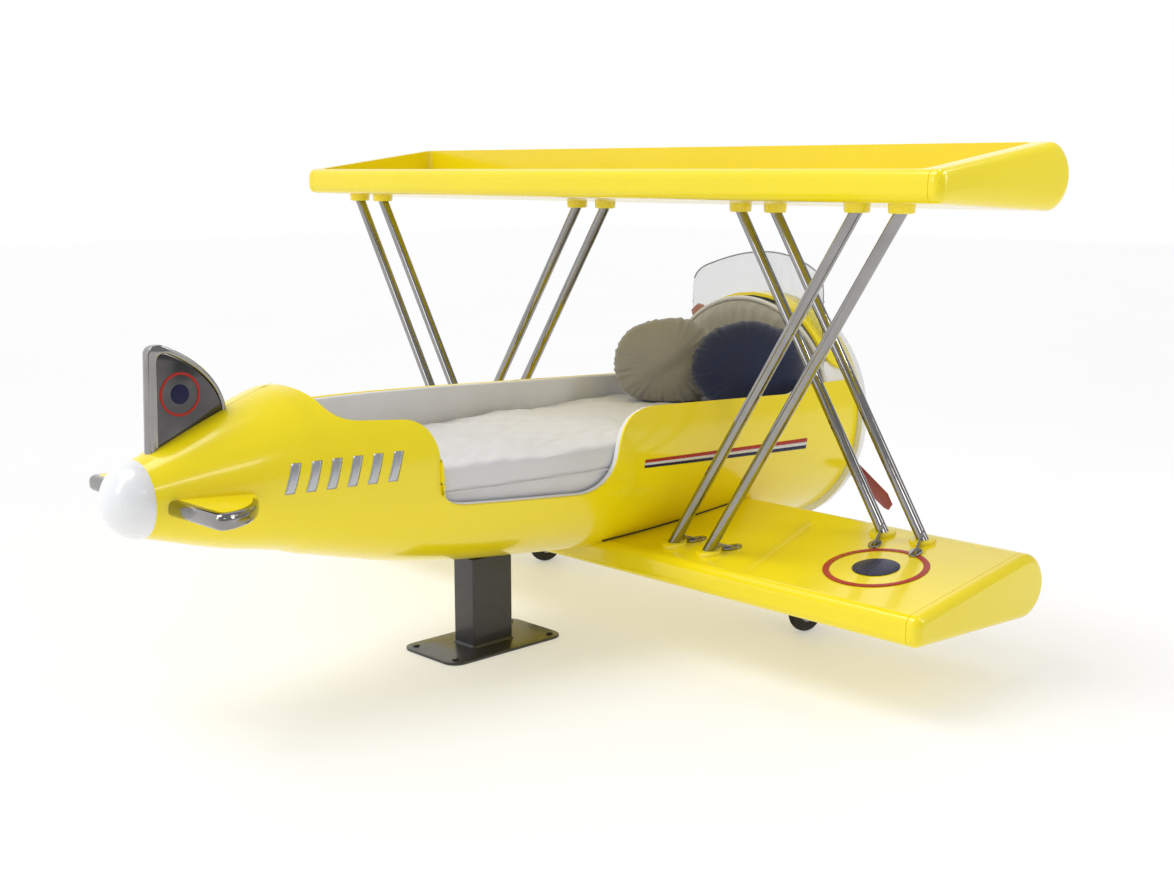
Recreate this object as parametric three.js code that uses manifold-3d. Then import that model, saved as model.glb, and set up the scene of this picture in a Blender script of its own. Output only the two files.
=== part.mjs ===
// Child's bed in the shape of a biplane: a moulded tub on two wheels and a pedestal, two wings
// joined by eight slanting tubes, a tail, and a propeller that turns.
// Millimetres, +X towards the nose, +Y to port, +Z up, floor at Z = 0.
import * as THREE from "three";
import { mergeVertices } from "three/addons/utils/BufferGeometryUtils.js";
import Module from "manifold-3d";

const wasm = await Module();
wasm.setup();

// Driving dimensions.
const GAP = 0.3;                    // clearance between two pieces that touch
const SKIN = 16;                    // moulded shell wall
const LINER = 10;                   // padded liner on the inside of the tub
const SHELL_SIDES = 28;             // facets round the tub
const TUB_STEPS = 12;               // lengthwise facets of the tub and its liner
const TAIL_X = -1514;               // rear end of the tail shell
const DOME_DEPTH = 106;             // depth of the white cap behind it
const HUMP_X = -990;                // where the tail shell ends and the tub starts
const HOOD_X = 1200;                // where the tub ends and the nose shell starts
const NOSE_X = 1386;                // front end of the nose shell
// The hull's round section: distance along X, radius and height of its centre.
const HULL = [
  [-1514, 116, 725],
  [-1270, 203, 742],
  [-1080, 257, 757],
  [-998, 275, 750],
  [-566, 382, 756],
  [-70, 436, 752],
  [490, 454, 724],
  [1386, 458, 696],
];

const WING_HALF_SPAN = 1600;
const LOWER_HALF_SPAN = 1584;
const WING_REAR_X = 170;            // trailing face
const WING_ROUND_X = 798;           // where the round leading edge starts
const WING_NOSE_X = 909;            // foremost line of the leading edge
const WING_REAR_LOW = 251;          // heights of the lower wing's four edge lines
const WING_REAR_TOP = 350;
const WING_ROUND_LOW = 221;
const WING_ROUND_TOP = 435;
const WING_GAP = 1328;              // from the lower wing up to the upper wing
const WING_WALL = 12;
const TIP_CAP = 44;                 // thickness of a wing tip cap
const TIP_RIM = 30;                 // rounding of its outer edge
const TRAY_WALL = 26;
const TRAY_FLOOR = 18;
const END_BLOCK = 30;               // solid end of the tray, behind each tip cap

const STRUT_RADIUS = 20;
const STRUT_WALL = 2.5;
const STRUT_SIDES = 14;
const STRUT_HALF_PITCH = 82;        // half the distance between the two tubes of a pair
const REAR_FOOT = [282, 563];       // middle of the rear pair on the lower wing: x, distance from centre
const REAR_HEAD = [296, 1302];
const FRONT_FOOT = [738, 1131];
const FRONT_HEAD = [761, 438];
const PAD_RADIUS = 46;
const PAD_HEIGHT = 12;
const COLLAR_RADIUS = 42;
const COLLAR_HEIGHT = 27;
const REAR_PLATE = [88, 26];        // a foot plate's distance from its tube, and its turn outboard in degrees
const FRONT_PLATE = [112, 158];

const FIN_THICK = 36;
const FIN_PANEL_THICK = 24;
const TAILPLANE_THICK = 54;
const TAILPLANE_Z = 712;

const SPAR_LOW = 262;               // spar through both lower wings, under the bed
const SPAR_TOP = 332;
const SPAR_FROM = 440;
const SPAR_TO = 520;
const SPAR_REACH = 640;

const DECK_LOW = 536;               // bed base
const DECK_TOP = 554;
const MATTRESS_LOW = 556;
const MATTRESS_TOP = 758;
const MATTRESS_FOOT_X = -880;
const MATTRESS_HEAD_X = 1186;

const PROPELLER_X = 1512;
const PROPELLER_Z = 696;
const PROPELLER_RADIUS = 664;
const PROPELLER_ANGLE = THREE.MathUtils.degToRad(34);
const SHAFT_RADIUS = 18;
const SHAFT_PLAY = 1;

const WHEEL_X = 754;
const WHEEL_Y = 712;
const WHEEL_RADIUS = 88;
const TYRE_WIDTH = 44;
const AXLE_RADIUS = 8;

const SIDES = [["port", 1], ["starboard", -1]];

const group = new THREE.Group();

function finish(colour, roughness, metalness) {
  return new THREE.MeshStandardMaterial({ color: colour, roughness, metalness });
}

const YELLOW = finish(0xf7e018, 0.25, 0.0);
const WHITE = finish(0xdfe1e3, 0.3, 0.0);
const CHROME = finish(0xc9c9cc, 0.12, 1.0);
const STEEL = finish(0x8b8d90, 0.4, 1.0);
const BLACK = finish(0x17181a, 0.6, 0.1);
const RED = finish(0x8c1b14, 0.35, 0.0);
const CLEAR = finish(0xe9edf0, 0.08, 0.0);
const RUBBER = finish(0x1b1b1c, 0.85, 0.0);
const PLY = finish(0xc7a778, 0.7, 0.0);
const SHEET = finish(0xe6e6e9, 0.9, 0.0);
const QUILT = finish(0xd6d6da, 0.9, 0.0);
const TAUPE = finish(0x877f74, 0.8, 0.0);
const NAVY = finish(0x232f55, 0.8, 0.0);

// A closed geometry as a solid for joining and cutting.
function solid(geometry) {
  const plain = geometry.clone();
  plain.deleteAttribute("normal");
  plain.deleteAttribute("uv");
  const merged = mergeVertices(plain, 1e-3);
  return new wasm.Manifold(new wasm.Mesh({
    numProp: 3,
    vertProperties: new Float32Array(merged.attributes.position.array),
    triVerts: new Uint32Array(merged.index.array),
  }));
}

function geometryOf(body) {
  const mesh = body.getMesh();
  const geometry = new THREE.BufferGeometry();
  geometry.setAttribute("position", new THREE.BufferAttribute(new Float32Array(mesh.vertProperties), 3));
  geometry.setIndex(new THREE.BufferAttribute(new Uint32Array(mesh.triVerts), 1));
  geometry.computeVertexNormals();
  return geometry;
}

function add(name, shape, material) {
  const geometry = shape.isBufferGeometry ? shape : geometryOf(shape);
  const mesh = new THREE.Mesh(geometry, material);
  mesh.name = name;
  group.add(mesh);
  return mesh;
}

function box(low, high) {
  const size = high.map((value, axis) => value - low[axis]);
  const geometry = new THREE.BoxGeometry(...size);
  geometry.translate(...high.map((value, axis) => (value + low[axis]) / 2));
  return geometry;
}

// Moves every vertex of a geometry to where place(x, y, z) says.
function reshape(geometry, place) {
  const points = geometry.attributes.position;
  for (let i = 0; i < points.count; i += 1) {
    points.setXYZ(i, ...place(points.getX(i), points.getY(i), points.getZ(i)));
  }
  return geometry;
}

// A side view outline in X and Z carried from one Y to another.
function acrossY(shape, fromY, toY, curveSegments = 8) {
  const geometry = new THREE.ExtrudeGeometry(shape, {
    depth: toY - fromY,
    bevelEnabled: false,
    curveSegments,
  });
  return geometry.rotateX(Math.PI / 2).translate(0, toY, 0);
}

// A front view outline in Y and Z carried from one X to another.
function acrossX(shape, fromX, toX, curveSegments = 8) {
  const geometry = new THREE.ExtrudeGeometry(shape, {
    depth: toX - fromX,
    bevelEnabled: false,
    curveSegments,
  });
  return reshape(geometry, (x, y, z) => [z + fromX, x, y]);
}

// A plan outline in X and Y carried from one height to another.
function acrossZ(shape, fromZ, toZ, curveSegments = 8) {
  const geometry = new THREE.ExtrudeGeometry(shape, {
    depth: toZ - fromZ,
    bevelEnabled: false,
    curveSegments,
  });
  return geometry.translate(0, 0, fromZ);
}

// A profile of [radius, x] points turned about the X axis at height z.
function turnedX(profile, z, sides = 20) {
  const points = profile.map(([radius, x]) => new THREE.Vector2(radius, x));
  const geometry = new THREE.LatheGeometry(points, sides);
  return geometry.rotateZ(-Math.PI / 2).translate(0, 0, z);
}

// A profile of [radius, y] points turned about an axle along Y.
function turnedY(profile, x, z, sides = 32) {
  const points = profile.map(([radius, y]) => new THREE.Vector2(radius, y));
  return new THREE.LatheGeometry(points, sides).translate(x, 0, z);
}

function ring(inner, outer, from, to) {
  return [[inner, from], [outer, from], [outer, to], [inner, to], [inner, from]];
}

// The hull's radius (column 1) or centre height (column 2) at x, smooth through the stations.
function hull(x, column) {
  const last = HULL.length - 2;
  const found = HULL.findIndex((row, i) => i <= last && x < HULL[i + 1][0]);
  const i = found < 0 ? last : found;
  const slope = (k) => {
    const before = HULL[Math.max(k - 1, 0)];
    const after = HULL[Math.min(k + 1, HULL.length - 1)];
    return (after[column] - before[column]) / (after[0] - before[0]);
  };
  const width = HULL[i + 1][0] - HULL[i][0];
  const t = (x - HULL[i][0]) / width;
  const start = (1 + 2 * t) * (1 - t) ** 2 * HULL[i][column];
  const startSlope = t * (1 - t) ** 2 * width * slope(i);
  const end = t * t * (3 - 2 * t) * HULL[i + 1][column];
  const endSlope = t * t * (t - 1) * width * slope(i + 1);
  return start + startSlope + end + endSlope;
}

// The hull as a solid spindle, made smaller by inset all round.
function spindle(fromX, toX, inset, steps = 16) {
  const geometry = new THREE.CylinderGeometry(1, 1, 1, SHELL_SIDES, steps);
  reshape(geometry, (across, along, up) => {
    const x = fromX + (along + 0.5) * (toX - fromX);
    const radius = hull(x, 1) - inset;
    return [x, -across * radius, up * radius + hull(x, 2)];
  });
  return solid(geometry);
}

// How far the hull's inside reaches sideways at x, over the heights from low to top.
function insideHalfWidth(x, low, top, inset) {
  const radius = hull(x, 1) - inset;
  const rise = Math.max(Math.abs(low - hull(x, 2)), Math.abs(top - hull(x, 2)));
  return Math.sqrt(Math.max(radius * radius - rise * rise, 0));
}

// The opening over the bed, seen from the side: the hump behind it, the gunwales and the hood.
function openingShape() {
  const shape = new THREE.Shape();
  shape.moveTo(-984, 1300);
  shape.lineTo(-984, 985);
  shape.quadraticCurveTo(-975, 922, -890, 919);
  shape.quadraticCurveTo(-700, 911, 230, 866);
  shape.lineTo(960, 833);
  shape.bezierCurveTo(1010, 833, 1030, 858, 1090, 857);
  shape.lineTo(1350, 851);
  shape.bezierCurveTo(1395, 850, 1395, 893, 1355, 896);
  shape.quadraticCurveTo(1290, 900, 1262, 955);
  shape.quadraticCurveTo(1240, 1010, 1262, 1110);
  shape.lineTo(1275, 1300);
  return shape;
}

// The low step in the starboard side where the child climbs in.
function stepShape() {
  const shape = new THREE.Shape();
  shape.moveTo(-762, 1300);
  shape.lineTo(-762, 913);
  shape.quadraticCurveTo(-678, 906, -667, 790);
  shape.lineTo(-667, 712);
  shape.quadraticCurveTo(-655, 624, -560, 617);
  shape.lineTo(-92, 586);
  shape.quadraticCurveTo(30, 590, 46, 722);
  shape.quadraticCurveTo(62, 868, 234, 866);
  shape.lineTo(234, 1300);
  return shape;
}

// The bed's plan outline, as wide as the hull allows between two heights.
function bedShape(footX, headX, low, top, inset) {
  const steps = 14;
  const side = [];
  for (let i = 0; i <= steps; i += 1) {
    const x = footX + ((headX - footX) * i) / steps;
    side.push([x, insideHalfWidth(x, low, top, inset)]);
  }
  const shape = new THREE.Shape();
  shape.moveTo(footX, -side[0][1]);
  side.slice(1).forEach(([x, y]) => shape.lineTo(x, -y));
  side.reverse().forEach(([x, y]) => shape.lineTo(x, y));
  return shape;
}

// A wing's section, lifted by rise and made smaller by inset.
function wingShape(rise, inset) {
  const corner = 34;
  const rear = WING_REAR_X + inset;
  const nose = WING_NOSE_X - inset;
  const rearLow = WING_REAR_LOW + inset + rise;
  const rearTop = WING_REAR_TOP - inset + rise;
  const roundLow = WING_ROUND_LOW + inset + rise;
  const roundTop = WING_ROUND_TOP - inset + rise;
  const middle = (roundLow + roundTop) / 2;
  const shape = new THREE.Shape();
  shape.moveTo(rear + corner, rearLow);
  shape.lineTo(WING_ROUND_X, roundLow);
  shape.bezierCurveTo(nose - 50, roundLow - 3, nose, middle - 60, nose, middle);
  shape.bezierCurveTo(nose, middle + 60, nose - 50, roundTop + 8, WING_ROUND_X, roundTop);
  shape.lineTo(rear + corner, rearTop + 3);
  shape.quadraticCurveTo(rear, rearTop, rear, rearTop - corner);
  shape.lineTo(rear, rearLow + corner);
  shape.quadraticCurveTo(rear, rearLow, rear + corner, rearLow);
  return shape;
}

function wingTop(x) {
  const part = (x - WING_REAR_X) / (WING_ROUND_X - WING_REAR_X);
  return WING_REAR_TOP + part * (WING_ROUND_TOP - WING_REAR_TOP);
}

// The height of a point that lies the given amount above the lower wing's flat top at x.
function aboveWing(x, amount) {
  return wingTop(x) + amount;
}

function wingLow(x) {
  const part = (x - WING_REAR_X) / (WING_ROUND_X - WING_REAR_X);
  return WING_REAR_LOW + part * (WING_ROUND_LOW - WING_REAR_LOW);
}

function makeHull() {
  const opening = solid(acrossY(openingShape(), -700, 700, 10));
  const step = solid(acrossY(stepShape(), -700, 0, 10));
  const spar = solid(box([SPAR_FROM - 1, -700, SPAR_LOW - 1], [SPAR_TO + 1, 700, SPAR_TOP + 1]));

  const tail = spindle(TAIL_X, HUMP_X - GAP, 0, 8);
  const bulkhead = 12;
  const tailInside = spindle(TAIL_X - 1, HUMP_X - GAP - bulkhead, SKIN, 8);
  add("tail_shell", tail.subtract(tailInside), YELLOW);

  const tub = spindle(HUMP_X, HOOD_X, 0, TUB_STEPS);
  const tubInside = spindle(HUMP_X - 10, HOOD_X + 10, SKIN, TUB_STEPS);
  add("tub_shell", tub.subtract(tubInside).subtract(opening).subtract(step).subtract(spar), YELLOW);

  const nose = spindle(HOOD_X + GAP, NOSE_X, 0, 2);
  const noseInside = spindle(HOOD_X - 10, NOSE_X + 10, SKIN, 2);
  add("nose_shell", nose.subtract(noseInside).subtract(opening), YELLOW);

  const liner = spindle(HUMP_X - 10, HOOD_X + 10, SKIN + GAP, TUB_STEPS);
  const linerInside = spindle(HUMP_X - 10, HOOD_X + 10, SKIN + LINER, TUB_STEPS);
  const above = solid(box([HUMP_X + 8, -700, DECK_TOP + 2], [HOOD_X - 4, 700, 1300]));
  const lowered = solid(acrossY(openingShape(), -700, 700, 10).translate(0, 0, -6));
  const lining = liner.subtract(linerInside).intersect(above).subtract(lowered).subtract(step);
  const sections = [
    ["port", [HUMP_X, 2, 0], [HOOD_X, 700, 1300]],
    ["starboard_front", [-300, -700, 0], [HOOD_X, -2, 1300]],
    ["starboard_rear", [HUMP_X, -700, 0], [-300, -2, 1300]],
  ];
  sections.forEach(([place, low, high]) => {
    add(`wall_liner_${place}`, lining.intersect(solid(box(low, high))), QUILT);
  });
}

function makeEnds() {
  const rearZ = hull(TAIL_X, 2);
  const rearRadius = hull(TAIL_X, 1) + 1;
  const dome = [];
  const steps = 6;
  for (let i = 0; i <= steps; i += 1) {
    const angle = (i * Math.PI) / (2 * steps);
    dome.push([rearRadius * Math.sin(angle), TAIL_X - GAP - DOME_DEPTH * Math.cos(angle)]);
  }
  dome[0][0] = 0;
  dome.push([0, TAIL_X - GAP]);
  add("tail_dome", turnedX(dome, rearZ, 24), WHITE);

  const noseZ = hull(NOSE_X, 2);
  const lip = [];
  const lipSteps = 6;
  for (let i = 0; i <= lipSteps; i += 1) {
    const angle = (i * Math.PI) / lipSteps;
    lip.push([455 - 27 * Math.cos(angle), NOSE_X + GAP + 18 + 34 * Math.sin(angle)]);
  }
  lip.push([482, NOSE_X + GAP], [428, NOSE_X + GAP], lip[0].slice());
  lip.reverse();
  add("nose_ring", turnedX(lip, noseZ, SHELL_SIDES), WHITE);

  const hole = 62;
  const face = [[hole, 1404], [300, 1398], [427, 1388], [427, 1400], [300, 1412], [hole, 1418], [hole, 1404]];
  add("nose_face", turnedX(face, noseZ, SHELL_SIDES), WHITE);
}

function makeBed() {
  const base = solid(acrossZ(bedShape(-900, 1190, DECK_LOW, DECK_TOP, SKIN + 7), DECK_LOW, DECK_TOP));
  const vents = [-600, -300, 0, 300, 600, 900].map((x) => (
    solid(new THREE.CylinderGeometry(40, 40, 60, 16).rotateX(Math.PI / 2).translate(x, 0, DECK_LOW + 9))
  ));
  add("bed_base", vents.reduce((body, vent) => body.subtract(vent), base), PLY);

  const within = spindle(HUMP_X - 10, HOOD_X + 10, SKIN + LINER + 2, TUB_STEPS);
  const block = box([MATTRESS_FOOT_X, -700, MATTRESS_LOW], [MATTRESS_HEAD_X, 700, MATTRESS_TOP]);
  add("mattress", within.intersect(solid(block)), SHEET);

  const panelRadius = hull(1330, 1) - SKIN - 7;
  const panelZ = hull(1330, 2);
  const panel = [[0, 1322], [panelRadius, 1322], [panelRadius, 1334], [0, 1334]];
  add("headboard_panel", turnedX(panel, panelZ), PLY);

  const padRadius = 438;
  const padProfile = [[0, 1208], [padRadius - 20, 1208], [padRadius, 1228], [padRadius, 1318], [0, 1318]];
  const pad = solid(turnedX(padProfile, hull(1290, 2), SHELL_SIDES));
  const padRegion = solid(box([1200, -600, 700], [1400, 600, 1300]));
  add("headboard_pad", pad.intersect(padRegion), TAUPE);
}

// A round cushion standing on edge on the bed and turned to face the step.
function makeCushion(name, x, y, z, material) {
  const geometry = new THREE.SphereGeometry(1, 16, 8);
  geometry.scale(70, 205, 180);
  geometry.rotateY(0.12);
  geometry.rotateZ(THREE.MathUtils.degToRad(44));
  geometry.translate(x, y, z);
  add(name, geometry, material);
}

function makeWindscreen() {
  const sag = 70;
  const half = 349;
  const thick = 6;
  const edgeX = 1288;
  const radius = (half * half + sag * sag) / (2 * sag);
  const centreX = edgeX + sag - radius;
  const spread = Math.asin(half / radius);
  const plan = new THREE.Shape();
  plan.absarc(centreX, 0, radius, -spread, spread, false);
  plan.absarc(centreX, 0, radius - thick, spread, -spread, true);
  const front = new THREE.Shape();
  front.moveTo(-400, 900);
  front.lineTo(400, 900);
  front.lineTo(half + 10, 1170);
  front.bezierCurveTo(half, 1240, half - 24, 1268, half - 80, 1288);
  front.quadraticCurveTo(0, 1398, -half + 80, 1288);
  front.bezierCurveTo(-half + 24, 1268, -half, 1240, -half - 10, 1170);
  const sheet = solid(acrossZ(plan, 900, 1400, 16));
  const outline = solid(acrossX(front, 1200, 1500, 10));
  const hood = spindle(1100, 1500, -2 - GAP, 4);
  add("windscreen", sheet.intersect(outline).subtract(hood), CLEAR);
}

// An outline carried to both sides of the plane it is drawn in, with rounded rims.
function roundedSlab(shape, thick, rim) {
  const geometry = new THREE.ExtrudeGeometry(shape, {
    depth: thick - 2 * rim,
    bevelThickness: rim,
    bevelSize: rim,
    bevelOffset: -rim,
    bevelSegments: 3,
    curveSegments: 6,
  });
  return geometry.translate(0, 0, -(thick - 2 * rim) / 2);
}

function makeFin() {
  const outer = new THREE.Shape();
  outer.moveTo(-1480, 800);
  outer.lineTo(-1466, 1150);
  outer.quadraticCurveTo(-1462, 1177, -1420, 1174);
  outer.bezierCurveTo(-1330, 1140, -1238, 1075, -1216, 975);
  outer.lineTo(-1206, 800);
  const inner = new THREE.Shape();
  inner.moveTo(-1446, 800);
  inner.lineTo(-1437, 1126);
  inner.quadraticCurveTo(-1433, 1150, -1404, 1147);
  inner.bezierCurveTo(-1326, 1114, -1248, 1056, -1229, 975);
  inner.lineTo(-1219, 800);
  const hullBody = spindle(TAIL_X, HUMP_X - GAP, -GAP, 8);
  const whole = solid(roundedSlab(outer, FIN_THICK, 11).rotateX(Math.PI / 2));
  const window = solid(acrossY(inner, -40, 40, 6));
  const bridgeTop = -1170;
  const web = solid(acrossY(inner, -FIN_PANEL_THICK / 2, FIN_PANEL_THICK / 2, 6));
  const foot = solid(box([-1500, -40, 700], [bridgeTop, 40, 880]));
  const frame = whole.subtract(window.subtract(foot)).subtract(hullBody);
  add("fin_frame", frame, CHROME);
  add("fin_panel", web.subtract(whole.subtract(window.subtract(foot))).subtract(hullBody), CHROME);
}

function makeTailplanes() {
  const outer = new THREE.Shape();
  outer.moveTo(-1484, 60);
  outer.lineTo(-1480, 366);
  outer.quadraticCurveTo(-1478, 404, -1440, 402);
  outer.quadraticCurveTo(-1320, 392, -1232, 200);
  outer.lineTo(-1180, 60);
  const edge = new THREE.Shape();
  edge.moveTo(-1520, 60);
  edge.lineTo(-1458, 60);
  edge.lineTo(-1454, 356);
  edge.quadraticCurveTo(-1452, 378, -1432, 378);
  edge.quadraticCurveTo(-1345, 368, -1286, 262);
  edge.lineTo(-1220, 330);
  edge.lineTo(-1300, 440);
  edge.lineTo(-1520, 440);
  const hullBody = spindle(TAIL_X, HUMP_X - GAP, -GAP, 8);
  const whole = solid(roundedSlab(outer, TAILPLANE_THICK, 20)).translate([0, 0, TAILPLANE_Z]);
  const rim = whole.intersect(solid(acrossZ(edge, 600, 800, 6))).subtract(hullBody);
  const cutter = solid(acrossZ(edge, 600, 800, 6));
  const cutters = [[GAP, -GAP], [GAP, 0], [0, -GAP], [0, 0]].map(([x, y]) => cutter.translate([x, y, 0]));
  const root = cutters.reduce((body, cut) => body.subtract(cut), whole).subtract(hullBody);
  SIDES.forEach(([side, sign]) => {
    const turned = (body) => (sign > 0 ? body : body.mirror([0, 1, 0]));
    add(`tailplane_edge_${side}`, turned(rim), CHROME);
    add(`tailplane_root_${side}`, turned(root), YELLOW);
  });
}

// A wing tip: a slice of the section that shrinks towards its outer face along a quarter round.
function tipCap(rise, halfSpan, sign) {
  const geometry = new THREE.ExtrudeGeometry(wingShape(rise, 1), {
    depth: TIP_CAP,
    steps: 6,
    bevelEnabled: false,
    curveSegments: 4,
  });
  const centreX = (WING_REAR_X + WING_NOSE_X) / 2;
  const halfLength = (WING_NOSE_X - WING_REAR_X) / 2;
  return reshape(geometry, (x, z, depth) => {
    const fromTip = sign > 0 ? depth : TIP_CAP - depth;
    const short = Math.max(TIP_RIM - fromTip, 0);
    const inset = TIP_RIM - Math.sqrt(TIP_RIM * TIP_RIM - short * short);
    const at = Math.min(x, WING_ROUND_X);
    const middle = (wingTop(at) + wingLow(at)) / 2 + rise;
    const halfHeight = (wingTop(at) - wingLow(at)) / 2;
    return [
      centreX + (x - centreX) * (1 - inset / halfLength),
      sign * (halfSpan - fromTip),
      middle + (z - middle) * (1 - inset / halfHeight),
    ];
  });
}

function makeLowerWing() {
  const cavity = wingShape(0, WING_WALL);
  SIDES.forEach(([side, sign]) => {
    const end = LOWER_HALF_SPAN - TIP_CAP - GAP;
    const from = sign > 0 ? 60 : -end;
    const to = sign > 0 ? end : -60;
    const skin = solid(acrossY(wingShape(0, 0), from, to, 4));
    const hollow = solid(acrossY(cavity, from - 20, to + 20, 4));
    const hullBody = spindle(HUMP_X, HOOD_X, -GAP - 0.3, TUB_STEPS);
    let wing = skin.subtract(hollow);
    [REAR_FOOT, FRONT_FOOT].forEach((foot) => {
      [-1, 1].forEach((step) => {
        const y = sign * (foot[1] + step * STRUT_HALF_PITCH);
        const height = PAD_HEIGHT + 6;
        const middle = PAD_HEIGHT - height / 2;
        const pad = new THREE.CylinderGeometry(PAD_RADIUS - 4, PAD_RADIUS, height, 16).rotateX(Math.PI / 2);
        pad.translate(foot[0], y, middle);
        reshape(pad, (padX, padY, padZ) => [padX, padY, aboveWing(padX, padZ)]);
        wing = wing.add(solid(pad).subtract(hollow));
      });
    });
    wing = wing.subtract(hullBody);
    add(`lower_wing_${side}`, wing, YELLOW);
    add(`lower_wing_tip_${side}`, tipCap(0, LOWER_HALF_SPAN, sign), YELLOW);
  });
  add("wing_spar", box([SPAR_FROM, -SPAR_REACH, SPAR_LOW], [SPAR_TO, SPAR_REACH, SPAR_TOP]), STEEL);
}

function makeUpperWing() {
  const end = WING_HALF_SPAN - TIP_CAP - GAP;
  const body = solid(acrossY(wingShape(WING_GAP, 0), -end, end, 4));
  const well = new THREE.Shape();
  well.moveTo(WING_REAR_X + TRAY_WALL, wingLow(WING_REAR_X + TRAY_WALL) + WING_GAP + TRAY_FLOOR);
  well.lineTo(WING_ROUND_X, wingLow(WING_ROUND_X) + WING_GAP + TRAY_FLOOR);
  well.lineTo(WING_ROUND_X - 18, 1900);
  well.lineTo(WING_REAR_X + TRAY_WALL, 1900);
  const wellBody = solid(acrossY(well, -end + END_BLOCK, end - END_BLOCK));
  const hollow = solid(acrossY(wingShape(WING_GAP, WING_WALL), -end - 20, end + 20, 4));
  const noseRegion = solid(box([WING_ROUND_X + 8, -2000, 1400], [1000, 2000, 1900]));
  add("upper_wing", body.subtract(wellBody).subtract(hollow.intersect(noseRegion)), YELLOW);
  SIDES.forEach(([side, sign]) => {
    add(`upper_wing_tip_${side}`, tipCap(WING_GAP, WING_HALF_SPAN, sign), YELLOW);
  });
}

// A tube between two points whose ends are level, and whose section across its axis is round.
function slantedTube(foot, head, radius, sides) {
  const lean = new THREE.Vector2(head[0] - foot[0], head[1] - foot[1]);
  const height = head[2] - foot[2];
  const stretch = Math.hypot(lean.length(), height) / height;
  const way = lean.clone().normalize();
  const geometry = new THREE.CylinderGeometry(radius, radius, 1, sides).rotateX(Math.PI / 2);
  return reshape(geometry, (x, y, z) => {
    const along = (x * way.x + y * way.y) * (stretch - 1);
    const part = z + 0.5;
    return [
      foot[0] + lean.x * part + x + along * way.x,
      foot[1] + lean.y * part + y + along * way.y,
      foot[2] + height * part,
    ];
  });
}

// An oval plate on the lower wing with an upright web back to the foot of the tube.
function makeFootPlate(foot, distance, angle) {
  const outline = new THREE.CylinderGeometry(22, 22, 6, 16).rotateX(Math.PI / 2).scale(1.7, 1, 1);
  outline.translate(distance, 0, GAP + 3);
  const side = new THREE.Shape();
  const padEdge = PAD_RADIUS + 3;
  const onPad = PAD_HEIGHT + 2 * GAP;
  side.moveTo(0, onPad);
  side.lineTo(padEdge, onPad);
  side.lineTo(padEdge + 2, GAP + 2);
  side.lineTo(distance + 12, GAP + 2);
  side.lineTo(distance, GAP + 8);
  side.lineTo(padEdge, 24);
  side.lineTo(0, 46);
  const web = acrossY(side, -4, 4);
  return [outline, web].map((shape) => {
    shape.rotateZ(angle);
    return solid(reshape(shape, (x, y, z) => [x + foot[0], y + foot[1], aboveWing(x + foot[0], z)]));
  });
}

// A strut with its foot plate, and the collar under the upper wing.
function makeStrut(label, footXY, headXY, [plateDistance, plateAngle]) {
  const foot = new THREE.Vector3(...footXY, wingTop(footXY[0]) + PAD_HEIGHT);
  const head = new THREE.Vector3(...headXY, wingLow(headXY[0]) + WING_GAP - COLLAR_HEIGHT - GAP - 4);
  const lean = head.clone().sub(foot).divideScalar(head.z - foot.z);
  const below = foot.clone().addScaledVector(lean, -20);
  const above = head.clone().addScaledVector(lean, 10);
  const tube = solid(slantedTube(below.toArray(), head.toArray(), STRUT_RADIUS, STRUT_SIDES));
  const bore = solid(slantedTube(below.toArray(), above.toArray(), STRUT_RADIUS - STRUT_WALL, STRUT_SIDES));
  const outboard = Math.sign(footXY[1]);
  const angle = outboard * THREE.MathUtils.degToRad(plateAngle);
  const slope = (wingTop(100) - wingTop(0)) / 100;
  const normal = new THREE.Vector3(-slope, 0, 1).normalize();
  const padTop = normal.dot(foot) + GAP;
  const [plate, web] = makeFootPlate(footXY, plateDistance, angle);
  const strut = tube.trimByPlane(normal.toArray(), padTop).add(web).add(plate).subtract(bore);
  add(`strut_${label}`, strut, CHROME);

  const collarTop = wingLow(headXY[0]) + WING_GAP;
  const collar = new THREE.CylinderGeometry(COLLAR_RADIUS, COLLAR_RADIUS - 3, COLLAR_HEIGHT + 6, 16);
  collar.rotateX(Math.PI / 2).translate(...headXY, collarTop - (COLLAR_HEIGHT + 6) / 2 + 4);
  const wing = solid(acrossY(wingShape(WING_GAP, -GAP), -1590, 1590, 4));
  const body = solid(collar).subtract(wing);
  add(`collar_${label}`, body, YELLOW);
}

function makeStruts() {
  const pairs = [
    ["rear", REAR_FOOT, REAR_HEAD, REAR_PLATE],
    ["front", FRONT_FOOT, FRONT_HEAD, FRONT_PLATE],
  ];
  pairs.forEach(([place, foot, head, plate]) => {
    SIDES.forEach(([side, sign]) => {
      [["inner", -1], ["outer", 1]].forEach(([which, step]) => {
        const offset = step * STRUT_HALF_PITCH;
        const footXY = [foot[0], sign * (foot[1] + offset)];
        const headXY = [head[0], sign * (head[1] + offset)];
        makeStrut(`${place}_${side}_${which}`, footXY, headXY, plate);
      });
    });
  });
}

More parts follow.
